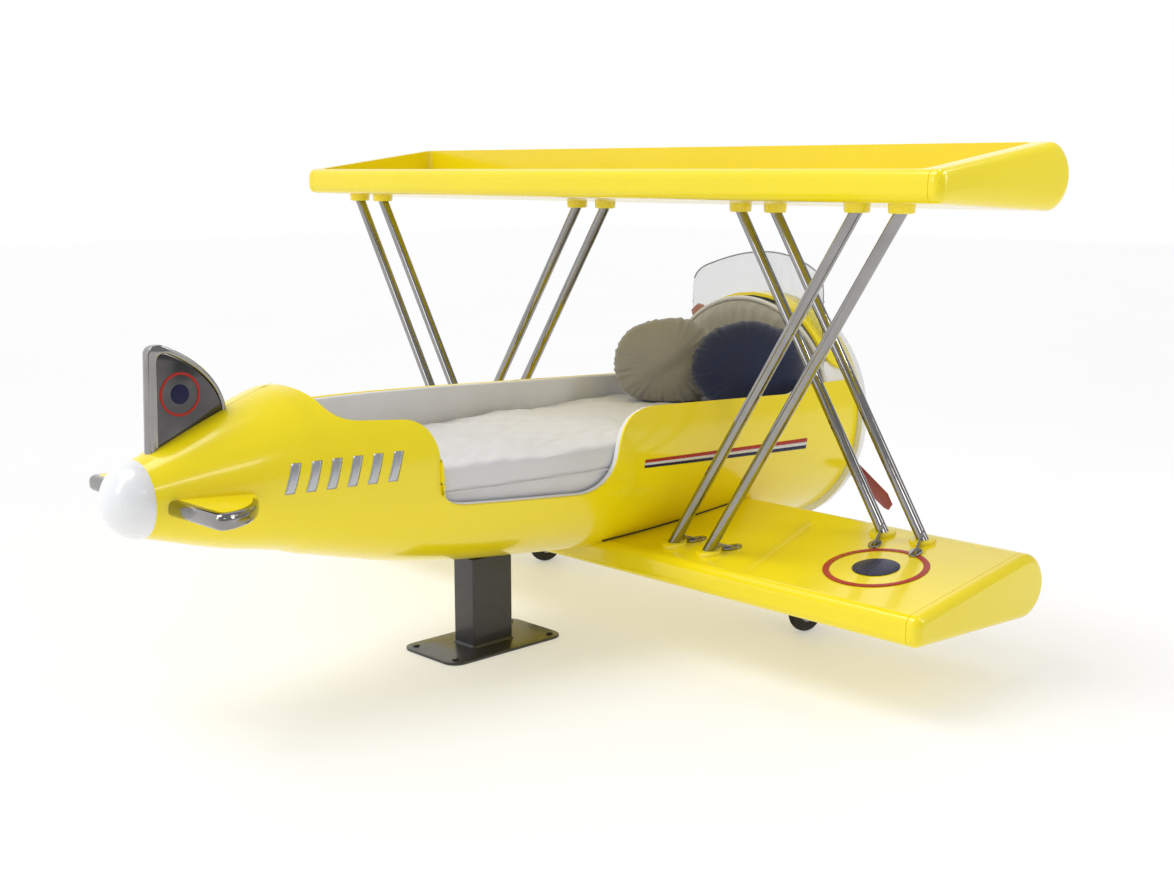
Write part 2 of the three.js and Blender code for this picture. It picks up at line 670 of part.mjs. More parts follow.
function makePropeller() {
  const z = PROPELLER_Z;
  const housing = ring(SHAFT_RADIUS + SHAFT_PLAY, 60, 1402, 1440);
  add("bearing_housing", turnedX(housing, z), STEEL);
  const shaft = [[0, 1346], [SHAFT_RADIUS, 1346], [SHAFT_RADIUS, 1490], [0, 1490]];
  add("propeller_shaft", turnedX(shaft, z), STEEL);
  const hub = [[0, 1490.5], [70, 1490.5], [74, 1496], [74, 1530], [70, 1536], [0, 1536]];
  let hubBody = solid(turnedX(hub, z));

  const outline = new THREE.Shape();
  outline.moveTo(50, -24);
  outline.bezierCurveTo(160, -30, 220, -46, 330, -48);
  outline.lineTo(PROPELLER_RADIUS - 40, -42);
  outline.lineTo(PROPELLER_RADIUS, -14);
  outline.lineTo(PROPELLER_RADIUS - 6, 30);
  outline.lineTo(PROPELLER_RADIUS - 30, 42);
  outline.lineTo(330, 44);
  outline.bezierCurveTo(220, 42, 160, 30, 50, 24);
  const blades = [["one", 0], ["two", Math.PI]];
  blades.forEach(([which, turn]) => {
    const blade = new THREE.ExtrudeGeometry(outline, { depth: 14, bevelEnabled: false, curveSegments: 4 });
    blade.translate(0, 0, -7).rotateX(THREE.MathUtils.degToRad(20));
    reshape(blade, (along, across, thick) => [thick, along, across]);
    blade.rotateX(Math.PI + PROPELLER_ANGLE + turn);
    blade.translate(PROPELLER_X, 0, z);
    const bladeBody = solid(blade);
    const grown = new THREE.ExtrudeGeometry(outline, { depth: 15, bevelEnabled: false, curveSegments: 4 });
    grown.translate(0, 0, -7.5).scale(1, 1.02, 1).rotateX(THREE.MathUtils.degToRad(20));
    reshape(grown, (along, across, thick) => [thick, along - 1, across]);
    grown.rotateX(Math.PI + PROPELLER_ANGLE + turn);
    grown.translate(PROPELLER_X, 0, z);
    hubBody = hubBody.subtract(solid(grown));
    add(`propeller_blade_${which}`, bladeBody, RED);
  });
  add("propeller_hub", hubBody, STEEL);
  const spinner = [];
  const steps = 6;
  for (let i = 0; i <= steps; i += 1) {
    const angle = (i * Math.PI) / (2 * steps);
    spinner.push([72 * Math.cos(angle), 1536.5 + 83.5 * Math.sin(angle)]);
  }
  spinner[steps][0] = 0;
  spinner.unshift([0, 1536.5]);
  add("spinner", turnedX(spinner, z), CHROME);
}

function makeWheels() {
  SIDES.forEach(([side, sign]) => {
    const y = sign * WHEEL_Y;
    const half = TYRE_WIDTH / 2;
    const z = WHEEL_RADIUS;
    const tread = WHEEL_RADIUS;
    const tyre = [
      [52, -half + 6], [tread - 14, -half], [tread - 3, -half + 8], [tread, 0],
      [tread - 3, half - 8], [tread - 14, half], [52, half - 6], [52, -half + 6],
    ];
    add(`tyre_${side}`, turnedY(tyre, WHEEL_X, z, 32).translate(0, y, 0), RUBBER);
    const rimProfile = ring(AXLE_RADIUS + 1, 51.5, -half + 7, half - 7);
    add(`wheel_hub_${side}`, turnedY(rimProfile, WHEEL_X, z, 20).translate(0, y, 0), STEEL);
    const under = wingLow(WHEEL_X) - 4;
    const plate = solid(box([WHEEL_X - 45, y - 45, under - 8], [WHEEL_X + 45, y + 45, under]));
    const cheeks = [-1, 1].map((cheek) => {
      const face = y + cheek * 32;
      return solid(box([WHEEL_X - 18, face - 3, z - 20], [WHEEL_X + 18, face + 3, under - 4]));
    });
    const axle = solid(new THREE.CylinderGeometry(AXLE_RADIUS, AXLE_RADIUS, 70, 20).translate(WHEEL_X, y, z));
    add(`wheel_fork_${side}`, plate.add(cheeks[0]).add(cheeks[1]).add(axle), BLACK);
  });
}

function makePedestal() {
  const plateTop = 10;
  const base = new THREE.Shape();
  base.moveTo(-400, -150);
  base.lineTo(0, -150);
  base.quadraticCurveTo(60, -150, 60, -90);
  base.lineTo(60, 90);
  base.quadraticCurveTo(60, 150, 0, 150);
  base.lineTo(-400, 150);
  base.quadraticCurveTo(-460, 150, -460, 90);
  base.lineTo(-460, -90);
  base.quadraticCurveTo(-460, -150, -400, -150);
  add("pedestal_base", acrossZ(base, 0, plateTop, 6), BLACK);
  const hullBody = spindle(HUMP_X, HOOD_X, -GAP, TUB_STEPS);
  const post = solid(box([-290, -55, plateTop + GAP], [-110, 55, 420]));
  const inside = solid(box([-284, -49, plateTop - 10], [-116, 49, 340]));
  add("pedestal_post", post.subtract(inside).subtract(hullBody), BLACK);
}

makeHull();
makeEnds();
makeBed();
makeCushion("cushion_taupe", 915, 150, 940, TAUPE);
makeCushion("cushion_navy", 985, -215, 942, NAVY);
makeWindscreen();
makeFin();
makeTailplanes();
makeLowerWing();
makeUpperWing();
makeStruts();
makePropeller();
makeWheels();
makePedestal();

export default group;
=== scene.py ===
from math import cos, pi, radians, sin

import bmesh
import bpy
import numpy as np
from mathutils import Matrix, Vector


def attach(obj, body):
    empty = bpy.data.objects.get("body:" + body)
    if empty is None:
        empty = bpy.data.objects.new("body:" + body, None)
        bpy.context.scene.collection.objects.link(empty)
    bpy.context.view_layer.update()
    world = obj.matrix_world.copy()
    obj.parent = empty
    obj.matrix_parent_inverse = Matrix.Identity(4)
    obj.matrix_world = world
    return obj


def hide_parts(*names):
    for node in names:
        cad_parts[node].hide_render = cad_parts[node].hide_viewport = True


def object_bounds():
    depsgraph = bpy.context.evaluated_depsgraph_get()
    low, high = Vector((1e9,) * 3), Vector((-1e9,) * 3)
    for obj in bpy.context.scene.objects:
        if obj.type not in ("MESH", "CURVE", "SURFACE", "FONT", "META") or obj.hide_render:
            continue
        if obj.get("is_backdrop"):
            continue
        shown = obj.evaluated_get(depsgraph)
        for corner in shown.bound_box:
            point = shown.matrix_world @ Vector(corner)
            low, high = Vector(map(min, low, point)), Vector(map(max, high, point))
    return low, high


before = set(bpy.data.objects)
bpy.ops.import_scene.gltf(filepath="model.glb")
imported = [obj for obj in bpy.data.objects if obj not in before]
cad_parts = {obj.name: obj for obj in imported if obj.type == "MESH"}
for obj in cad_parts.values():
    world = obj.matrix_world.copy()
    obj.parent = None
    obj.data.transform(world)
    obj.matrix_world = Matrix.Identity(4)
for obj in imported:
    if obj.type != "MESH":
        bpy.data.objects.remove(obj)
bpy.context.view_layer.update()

# The studio: a pale floor that glows a little, a white surround that is greyer overhead and to starboard,
# soft lamps, three strip lamps that draw highlights along the hull, and a broad skylight.
# The viewer stands behind the starboard wing tip and looks along the bed towards the nose.
MM = 0.001
scene = bpy.context.scene
scene.view_settings.view_transform = "Standard"
eye = bpy.data.objects.new("viewer", bpy.data.cameras.new("viewer"))
eye.location = (-3.5856, -4.0553, 1.6754)
eye.rotation_euler = (radians(79.773), 0, radians(-43.899))
eye.data.lens = 46.62
eye.data.sensor_width = 36
scene.collection.objects.link(eye)
scene.camera = eye


class Wire:
    """One output of a node tree. Sums in Python join wires with Math nodes; node() makes every other node."""

    def __init__(self, socket):
        self.socket = socket

    def node(self, kind, settings=(), inputs=(), output=0):
        tree = self.socket.id_data
        made = tree.nodes.new(kind)
        for key, value in dict(settings).items():
            if key == "stops":
                stops = made.color_ramp.elements
                while len(stops) < len(value):
                    stops.new(0.5)
                for stop, (place, colour) in zip(stops, value):
                    stop.position = place
                    stop.color = (*colour, 1)
            else:
                setattr(made, key, value)
        for key, value in dict(inputs).items():
            if isinstance(value, Wire):
                tree.links.new(value.socket, made.inputs[key])
            else:
                made.inputs[key].default_value = value
        return Wire(made.outputs[output])

    def math(self, operation, *values):
        return self.node("ShaderNodeMath", {"operation": operation}, enumerate(values))

    def __add__(self, other):
        return self.math("ADD", self, other)

    __radd__ = __add__

    def __mul__(self, other):
        return self.math("MULTIPLY", self, other)

    __rmul__ = __mul__

    def __sub__(self, other):
        return self.math("SUBTRACT", self, other)

    def __rsub__(self, other):
        return self.math("SUBTRACT", other, self)


world = bpy.data.worlds.new("studio")
world.use_nodes = True
scene.world = world
backing = world.node_tree.nodes["Background"]
backing.inputs["Strength"].default_value = 1.0
direction = Wire(world.node_tree.nodes.new("ShaderNodeTexCoord").outputs["Generated"])
greyest = (0.15, -0.80, 0.58)
towards = direction.node("ShaderNodeVectorMath", {"operation": "DOT_PRODUCT"}, {0: direction, 1: greyest}, "Value")
surround = [(0.44, (1, 1, 1)), (0.68, (0.42, 0.42, 0.43))]
shade = towards.node("ShaderNodeValToRGB", {"stops": surround}, {0: towards * 0.5 + 0.5})
world.node_tree.links.new(shade.socket, backing.inputs["Color"])

for lamp_name, place, aim, size, power in [
    ("lamp_left", (-4.6, 0.6, 3.0), (-0.4, 0, 0.7), (0.8, 2.6), 22),
    ("lamp_right", (2.6, -4.4, 2.6), (0.5, -0.4, 0.6), (0.9, 2.2), 20),
    ("lamp_viewer", (-2.4, -4.6, 3.6), (-0.2, -0.2, 0.6), (1.6, 0.5), 12),
    ("strip_near", (1.6, -3.0, 3.3), (0, 0, 0.7), (1.3, 0.09), 7),
    ("strip_middle", (1.9, -2.3, 3.6), (0, 0, 0.7), (1.3, 0.09), 7),
    ("strip_far", (1.2, -1.5, 3.9), (0, 0, 0.7), (1.3, 0.09), 7),
]:
    lamp = bpy.data.objects.new(lamp_name, bpy.data.lights.new(lamp_name, "AREA"))
    lamp.data.shape = "RECTANGLE"
    lamp.data.size, lamp.data.size_y = size
    lamp.data.energy = power
    lamp.location = place
    lamp.rotation_euler = (Vector(place) - Vector(aim)).to_track_quat("Z", "Y").to_euler()
    scene.collection.objects.link(lamp)
skylight = bpy.data.objects.new("skylight", bpy.data.lights.new("skylight", "SUN"))
skylight.data.energy = 1.25
skylight.data.angle = radians(38)
skylight.rotation_euler = Vector((-0.38, 0.30, 1)).to_track_quat("Z", "Y").to_euler()
scene.collection.objects.link(skylight)


def material(name, constants, varies=None):
    """A Principled finish. constants are its fixed sockets; varies(here) gives those that change over the surface."""
    made = bpy.data.materials.new(name)
    made.use_nodes = True
    tree = made.node_tree
    shader = tree.nodes["Principled BSDF"]
    for key, value in constants.items():
        shader.inputs[key].default_value = (*value, 1) if isinstance(value, tuple) and len(value) == 3 else value
    if varies:
        here = Wire(tree.nodes.new("ShaderNodeTexCoord").outputs["Object"])
        for key, value in varies(here).items():
            tree.links.new(value.socket, shader.inputs[key])
    return made


def noise(here, scale, detail=2.0):
    return here.node("ShaderNodeTexNoise", {}, {"Vector": here, "Scale": scale, "Detail": detail})


def mixed(share, first, second):
    """The colour share of the way from the first colour to the second."""
    ends = [(*colour, 1) if isinstance(colour, tuple) else colour for colour in (first, second)]
    return share.node("ShaderNodeMix", {"data_type": "RGBA"}, {0: share, 6: ends[0], 7: ends[1]}, 2)


def bumps(height, depth):
    return height.node("ShaderNodeBump", {}, {"Strength": 1.0, "Distance": depth, "Height": height})


def surface(cloud, first, second, gloss, wear, swing, grain=None, relief=0):
    """A hard finish: a colour clouded between two, worn patches in the gloss and a fine relief.
    cloud, wear and grain are each the scale and detail of a noise."""
    def varies(here):
        inputs = {"Base Color": mixed(noise(here, *cloud), first, second),
                  "Roughness": gloss + noise(here, *wear) * swing}
        if grain:
            inputs["Normal"] = bumps(noise(here, *grain), relief)
        return inputs
    return varies


def quads(rows, columns, around=False, along=False):
    """Corner numbers of the quads between neighbours of a grid whose points are counted row by row."""
    row = np.arange(rows if along else rows - 1)[:, None]
    column = np.arange(columns if around else columns - 1)[None, :]
    next_row, next_column = (row + 1) % rows, (column + 1) % columns
    corners = [row * columns + column, row * columns + next_column,
               next_row * columns + next_column, next_row * columns + column]
    return np.stack(np.broadcast_arrays(*corners), -1).reshape(-1, 4)


def mesh_of(grids, around=False, along=False, caps=False, inside=None):
    """Grids of points in millimetres, each rows by columns by 3, joined into one mesh in metres.
    Doubles are merged, open ends are capped if asked, and faces turn away from the point inside."""
    points, faces, first = [], [], 0
    for grid in grids:
        faces.append(quads(grid.shape[0], grid.shape[1], around, along) + first)
        points.append(grid.reshape(-1, 3))
        first += grid.shape[0] * grid.shape[1]
    mesh = bpy.data.meshes.new("grid")
    mesh.from_pydata(np.vstack(points) * MM, [], np.vstack(faces).tolist())
    work = bmesh.new()
    work.from_mesh(mesh)
    bmesh.ops.remove_doubles(work, verts=work.verts, dist=2e-5)
    bmesh.ops.dissolve_degenerate(work, edges=work.edges, dist=1e-6)
    if caps:
        bmesh.ops.holes_fill(work, edges=[e for e in work.edges if e.is_boundary])
    bmesh.ops.recalc_face_normals(work, faces=work.faces)
    if inside is not None:
        centre = Vector(inside) * MM
        facing = sum((f.calc_center_median() - centre).dot(f.normal) * f.calc_area() for f in work.faces)
        if facing < 0:
            bmesh.ops.reverse_faces(work, faces=work.faces)
    work.to_mesh(mesh)
    work.free()
    return mesh


def piece(name, mesh, finish, stands_for=(), body="airframe", wall=0, bevel=0, rounds=0, crease=35):
    """Puts a mesh in the scene as a piece that rides on a body, with a wall, rounded edges or a subdivision."""
    made = bpy.data.objects.new(name, mesh)
    mesh.name = name
    scene.collection.objects.link(made)
    mesh.materials.append(finish)
    mesh.shade_smooth()
    mesh.set_sharp_from_angle(angle=radians(crease))
    if wall:
        solidify = made.modifiers.new("wall", "SOLIDIFY")
        solidify.thickness = wall * MM
        solidify.offset = -1
    if bevel:
        edge = made.modifiers.new("edge", "BEVEL")
        edge.width = bevel * MM
        edge.segments = 3
        edge.angle_limit = radians(crease)
        edge.harden_normals = True
    if rounds:
        more = made.modifiers.new("rounds", "SUBSURF")
        more.levels = more.render_levels = rounds
    if body:
        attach(made, body)
    if stands_for:
        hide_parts(*stands_for)
    return made


floor_paint = material("floor_paint", {"Roughness": 0.6, "Specular IOR Level": 0.2, "Emission Color": (1, 1, 1),
                                       "Emission Strength": 0.38},
                       lambda here: {"Base Color": mixed(noise(here, 0.8), (0.58, 0.58, 0.585), (0.61, 0.61, 0.61))})
FLOOR_HALF = 30000
ground = np.array([[[x, y, 0] for x in (-FLOOR_HALF, FLOOR_HALF)] for y in (-FLOOR_HALF, FLOOR_HALF)], float)
floor = piece("floor", mesh_of([ground], inside=(0, 0, -10)), floor_paint, body=None)
floor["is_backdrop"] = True

# The hull: one moulded shell in glass fibre with a deep yellow gelcoat, polished and waxed.
# Its section is round everywhere; the bed's opening and the low starboard step are cut out of it,
# and the cut edge is rolled. It is laid up in two halves that meet along the keel.
HULL = np.array([[-1514, 116, 725], [-1270, 203, 742], [-1080, 257, 757], [-998, 275, 750],
                 [-566, 382, 756], [-70, 436, 752], [490, 454, 724], [1386, 458, 696]], float)
TAIL, HUMP, NOSE = -1514, -984, 1386
SHELL = 13


def along_hull(x, column):
    """Cubic through the hull's stations, each slope taken from the stations on either side of it."""
    at, value = HULL[:, 0], HULL[:, column]
    before, after = np.r_[0, np.arange(len(at) - 1)], np.r_[np.arange(1, len(at)), len(at) - 1]
    slope = (value[after] - value[before]) / (at[after] - at[before])
    i = np.clip(np.searchsorted(at, x, "right") - 1, 0, len(at) - 2)
    width = at[i + 1] - at[i]
    t = (x - at[i]) / width
    ends = (1 + 2 * t) * (1 - t) ** 2 * value[i] + t * t * (3 - 2 * t) * value[i + 1]
    return ends + t * (1 - t) ** 2 * width * slope[i] + t * t * (t - 1) * width * slope[i + 1]


def on_hull(x, angle, side, inset=0):
    """The point at x on the hull's skin, angle above level in radians, on the port (1) or starboard (-1) side."""
    radius = along_hull(x, 1) - inset
    return np.stack([x, side * radius * np.cos(angle), along_hull(x, 2) + radius * np.sin(angle)], -1)


def outline(start, *steps):
    """A line through straight runs and curves: each step lists the control points and the end of one Bezier."""
    points = [np.array([start], float)]
    for step in steps:
        t = np.linspace(0, 1, 2 if len(step) == 1 else 25)[1:, None]
        level = [np.array([corner], float) for corner in [points[-1][-1], *step]]
        while len(level) > 1:
            level = [a + (b - a) * t for a, b in zip(level, level[1:])]
        points.append(level[0])
    return np.vstack(points)


def rounded_box(low_x, high_x, low_y, high_y, radius):
    """A rectangle with rounded corners, as a closed line."""
    return outline((low_x, low_y + radius), [(low_x, low_y), (low_x + radius, low_y)], [(high_x - radius, low_y)],
                   [(high_x, low_y), (high_x, low_y + radius)], [(high_x, high_y - radius)],
                   [(high_x, high_y), (high_x - radius, high_y)], [(low_x + radius, high_y)],
                   [(low_x, high_y), (low_x, high_y - radius)])


def even(points, count):
    """The same line with its points spread evenly along its length."""
    run = np.r_[0, np.cumsum(np.linalg.norm(np.diff(points, axis=0), axis=1))]
    at = np.linspace(0, run[-1], count)
    return np.stack([np.interp(at, run, column) for column in points.T], 1)


CREST = -1056
back = np.linspace(TAIL, CREST, 60)
crest_curve = [(-1015, 1030), (-997, 1003), (HUMP, 975)], [(-966, 922), (-890, 919)]
crest_top = (CREST, float(along_hull(float(CREST), 2) + along_hull(float(CREST), 1)))
spine = np.stack([back, along_hull(back, 2) + along_hull(back, 1)], 1)
gunwale = outline(crest_top, *crest_curve, [(-700, 911), (230, 866)], [(960, 833)],
                  [(1010, 833), (1030, 858), (1090, 857)], [(1350, 851)], [(1372, 850), (1380, 853), (NOSE, 858)])
forward = gunwale[gunwale[:, 0] > 234]
step_edge = outline(crest_top, *crest_curve, [(-830, 916), (-762, 913)], [(-678, 906), (-667, 790)],
                    [(-666, 712)], [(-655, 624), (-560, 617)], [(-92, 586)], [(30, 590), (46, 722)],
                    [(62, 868), (234, 866)])
port_rim = even(np.vstack([spine, gunwale]), 300)
starboard_rim = even(np.vstack([spine, step_edge, forward]), 300)


def rim_angle(rim, drop=0):
    """How far above level, in radians, a point of the rim lies on the round section."""
    x, z = rim.T
    return np.arcsin(np.clip((z - drop - along_hull(x, 2)) / along_hull(x, 1), -1, 1))


def half_shell(rim, side, rows=44):
    """From the rim down to the keel: x and the angle both run evenly from the rim's to the keel's."""
    share = np.linspace(0, 1, rows)[None, :]
    keel_x = np.linspace(TAIL, NOSE, len(rim))[:, None]
    x = rim[:, :1] * (1 - share) + keel_x * share
    angle = rim_angle(rim)[:, None] * (1 - share) - pi / 2 * share
    return on_hull(x, angle, side)


yellow = material("yellow_gelcoat", {"Coat Weight": 0.35, "Coat Roughness": 0.03, "IOR": 1.5},
                  surface((3, 3), (0.90, 0.72, 0.002), (0.95, 0.78, 0.004), 0.14, (60, 6), 0.12, (240, 1), 0.00004))
hull_mesh = mesh_of([half_shell(port_rim, 1), half_shell(starboard_rim, -1)], inside=(0, 0, 740))
piece("hull_shell", hull_mesh, yellow, ["tail_shell", "tub_shell"], wall=SHELL, bevel=5)

# The hood: the arched front of the same shell behind the nose ring, a little prouder towards its top,
# with a rolled, scalloped rear edge.
hood_edge = outline((NOSE - 3, 893), [(1378, 895), (1355, 896)], [(1290, 900), (1262, 955)],
                    [(1240, 1010), (1262, 1110)], [(1270, 1140), (1272, 1156)])
hood_edge = even(hood_edge, 70)
hood_share = np.linspace(0, 1, 14)[None, :]
hood_rear = rim_angle(hood_edge)
hood_rear[-1] = pi / 2
hood_front = np.linspace(hood_rear[0], pi / 2, len(hood_edge))
hood_x = hood_edge[:, :1] * (1 - hood_share) + NOSE * hood_share
hood_angle = hood_rear[:, None] * (1 - hood_share) + hood_front[:, None] * hood_share
HOOD_RISE = 24
hood_rise = -HOOD_RISE * np.clip((np.sin(hood_angle) - 0.55) / 0.45, 0, 1)
hood_mesh = mesh_of([on_hull(hood_x, hood_angle, side, hood_rise) for side in (1, -1)], inside=(1300, 0, 700))
piece("hood", hood_mesh, yellow, ["nose_shell"], wall=SHELL, bevel=5)

# The bulkhead at the foot of the bed: a yellow panel that closes the hollow tail, bonded in.
# Its top bends back under the rounded rear edge of the opening.
disc_share, disc_angle = np.meshgrid(np.linspace(0.02, 1, 12), np.linspace(0, 2 * pi, 97)[:-1], indexing="ij")
BULKHEAD_X, BEND_FROM, BEND_BACK = -990.0, 958, 66
disc_radius = (along_hull(BULKHEAD_X, 1) - SHELL + 2) * disc_share
disc_z = along_hull(BULKHEAD_X, 2) + disc_radius * np.sin(disc_angle)
disc_x = BULKHEAD_X + 4 * disc_share ** 2 - BEND_BACK * np.clip((disc_z - BEND_FROM) / 54, 0, 1) ** 2
bulkhead = np.stack([disc_x, disc_radius * np.cos(disc_angle), disc_z], -1)
piece("foot_bulkhead", mesh_of([bulkhead], around=True, inside=(-1100, 0, 742)),
      yellow, wall=6)

# Stripes and bars: thin vinyl let into the gelcoat on the starboard side, red over white over navy,
# and a row of plain slanting silver bars near the tail.


def vinyl(name, colour, metal=0.0):
    return material(name, {"Metallic": metal, "Specular IOR Level": 0.25},
                    surface((14, 3), colour, tuple(c * 0.8 for c in colour), 0.22, (90, 3), 0.12))


def on_side(x, z, proud):
    """Points on the starboard skin at x and height z, standing proud of it."""
    radius = along_hull(x, 1) + proud
    return np.stack([x, -np.sqrt(radius ** 2 - (z - along_hull(x, 2)) ** 2), z], -1)


vinyl_red = vinyl("vinyl_red", (0.46, 0.022, 0.010))
vinyl_white = vinyl("vinyl_white", (0.72, 0.73, 0.74))
vinyl_navy = vinyl("vinyl_navy", (0.006, 0.006, 0.055))
vinyl_silver = vinyl("vinyl_silver", (0.55, 0.56, 0.58), 0.9)
STRIPE_FROM, STRIPE_TO = 173, 1068
stripe_x, stripe_share = np.meshgrid(np.linspace(STRIPE_FROM, STRIPE_TO, 60), np.linspace(0, 1, 4), indexing="ij")
stripe_part = (stripe_x - STRIPE_FROM) / (STRIPE_TO - STRIPE_FROM)
for name, low, high, finish, slot in [
    ("stripe_red", 0.64, 1.0, vinyl_red, "red_paint"),
    ("stripe_white", 0.33, 0.64, vinyl_white, "white_gelcoat"),
    ("stripe_navy", 0.0, 0.33, vinyl_navy, "navy_satin"),
]:
    level = low + (high - low) * stripe_share
    bottom, top = 651 - 42 * stripe_part, 681 - 30 * stripe_part
    grid = on_side(stripe_x, bottom + (top - bottom) * level, 1.2)
    piece(name, mesh_of([grid], inside=(600, 0, 700)), finish, wall=1)
bar_grids = []
for start in np.arange(-1160, -830, 64):
    across, up = np.meshgrid(np.linspace(0, 30, 5), np.linspace(0, 92, 12), indexing="ij")
    bar_grids.append(on_side(start + across + up * 0.28, 722 + up + (start + 1160) * 0.02, 1.4))
piece("tail_bars", mesh_of(bar_grids, inside=(-1000, 0, 700)), vinyl_silver, wall=1.2)

# The nose ring, nose plate and tail cap: moulded in white, with the same polish, bonded to the shell's ends.


def turned(profile, axis, height, sides=128, x=0, y=0):
    """A profile of (radius, place) turned once round an axle along X, Y or Z through a point."""
    radius, place = np.array(profile, float).T[:, :, None]
    angle = np.linspace(0, 2 * pi, sides + 1)[:-1][None, :]
    flat = [place + 0 * angle, radius * np.cos(angle), radius * np.sin(angle)]
    if axis == "Y":
        flat = [flat[1], flat[0], flat[2]]
    if axis == "Z":
        flat = [flat[1], flat[2], flat[0]]
    return np.stack(flat, -1) + np.array([x, y, height], float)


white = material("white_gelcoat", {"Coat Weight": 0.5, "Coat Roughness": 0.04},
                 surface((4, 3), (0.80, 0.81, 0.82), (0.87, 0.875, 0.88), 0.2, (50, 5), 0.12, (200, 1), 0.00004))
nose_z = float(along_hull(float(NOSE), 2))
lip_turn = np.linspace(0, pi, 25)
lip = np.stack([455 + 27 * np.cos(lip_turn), NOSE + 19 + 33 * np.sin(lip_turn)], 1)
lip = np.vstack([[(482, NOSE + 0.5)], lip, [(428, NOSE + 0.5)], [(482, NOSE + 0.5)]])
piece("nose_ring_lip", mesh_of([turned(lip, "X", nose_z, 192)], around=True),
      white, ["nose_ring"])
plate = np.array([(62, 1404), (90, 1403), (120, 1400), (300, 1397), (330, 1392), (427, 1388), (427.5, 1399),
                  (338, 1403), (306, 1410), (130, 1413), (96, 1418), (62, 1418), (62, 1404)], float)
piece("nose_plate", mesh_of([turned(plate, "X", nose_z, 128)], around=True),
      white, ["nose_face"], crease=50)
cap_turn = np.linspace(0, pi / 2, 28)
cap = np.stack([116.5 * np.sin(cap_turn), TAIL - 0.3 - 106 * np.cos(cap_turn)], 1)
cap = np.vstack([cap, [(108, TAIL - 0.2), (0, TAIL - 0.2)]])
piece("tail_cap", mesh_of([turned(cap, "X", float(along_hull(float(TAIL), 2)), 96)], around=True),
      white, ["tail_dome"])

# White linings inside the hood's side notches, behind the pad's edge.
lining_x, lining_share = np.meshgrid(np.linspace(1216, 1382, 24), np.linspace(0, 1, 10), indexing="ij")
NOTCH_LOW, NOTCH_HIGH = 826, 942
lining_height = NOTCH_LOW + (NOTCH_HIGH - NOTCH_LOW) * lining_share
lining_angle = np.arcsin((lining_height - along_hull(lining_x, 2)) / along_hull(lining_x, 1))
linings = [on_hull(lining_x, lining_angle, side, SHELL + 1) for side in (1, -1)]
piece("notch_linings", mesh_of(linings, inside=(1300, 0, 700)), white, wall=2)

# The fin: a chromed casting, a thick post behind and a thin curved rim in front, round a polished plate.
# It is bolted down through the hull's spine.


def flat_plate(loops, thick, rim, place):
    """A plate cut to closed outlines, the later ones holes, with rounded rims.
    place(u, v, w) puts it in the frame."""
    curve = bpy.data.curves.new("plate", "CURVE")
    curve.dimensions = "2D"
    curve.fill_mode = "BOTH"
    curve.extrude = (thick / 2 - rim) * MM
    curve.bevel_depth = rim * MM
    curve.bevel_resolution = 4
    curve.offset = -rim * MM
    for loop in loops:
        spline = curve.splines.new("POLY")
        spline.points.add(len(loop) - 1)
        spline.points.foreach_set("co", np.c_[loop * MM, np.zeros(len(loop)), np.ones(len(loop))].ravel())
        spline.use_cyclic_u = True
    holder = bpy.data.objects.new("plate", curve)
    scene.collection.objects.link(holder)
    bpy.context.view_layer.update()
    mesh = bpy.data.meshes.new_from_object(holder.evaluated_get(bpy.context.evaluated_depsgraph_get()))
    bpy.data.objects.remove(holder)
    work = bmesh.new()
    work.from_mesh(mesh)
    for vert in work.verts:
        vert.co = Vector(place(*(vert.co / MM))) * MM
    bmesh.ops.remove_doubles(work, verts=work.verts, dist=2e-5)
    bmesh.ops.recalc_face_normals(work, faces=work.faces)
    work.to_mesh(mesh)
    work.free()
    return mesh


def carved(mesh, tool_mesh, operation):
    """A mesh cut by, or to, a second one."""
    holders = [bpy.data.objects.new("carving", part) for part in (mesh, tool_mesh)]
    for holder in holders:
        scene.collection.objects.link(holder)
    cut = holders[0].modifiers.new("cut", "BOOLEAN")
    cut.operation = operation
    cut.object = holders[1]
    bpy.context.view_layer.update()
    made = bpy.data.meshes.new_from_object(holders[0].evaluated_get(bpy.context.evaluated_depsgraph_get()))
    for holder in holders:
        bpy.data.objects.remove(holder)
    return made


def bead(path, radius, aside, closed=False, sides=10):
    """A round cord along a line of points; aside is a direction it never runs along."""
    ahead = np.roll(path, -1, 0) - np.roll(path, 1, 0) if closed else np.gradient(path, axis=0)
    across = np.cross(ahead, aside)
    across /= np.linalg.norm(across, axis=1, keepdims=True)
    up = np.cross(across, ahead)
    up /= np.linalg.norm(up, axis=1, keepdims=True)
    turn = np.linspace(0, 2 * pi, sides + 1)[:-1][None, :, None]
    grid = path[:, None] + radius * (np.cos(turn) * across[:, None] + np.sin(turn) * up[:, None])
    return mesh_of([grid], around=True, along=closed, caps=not closed)


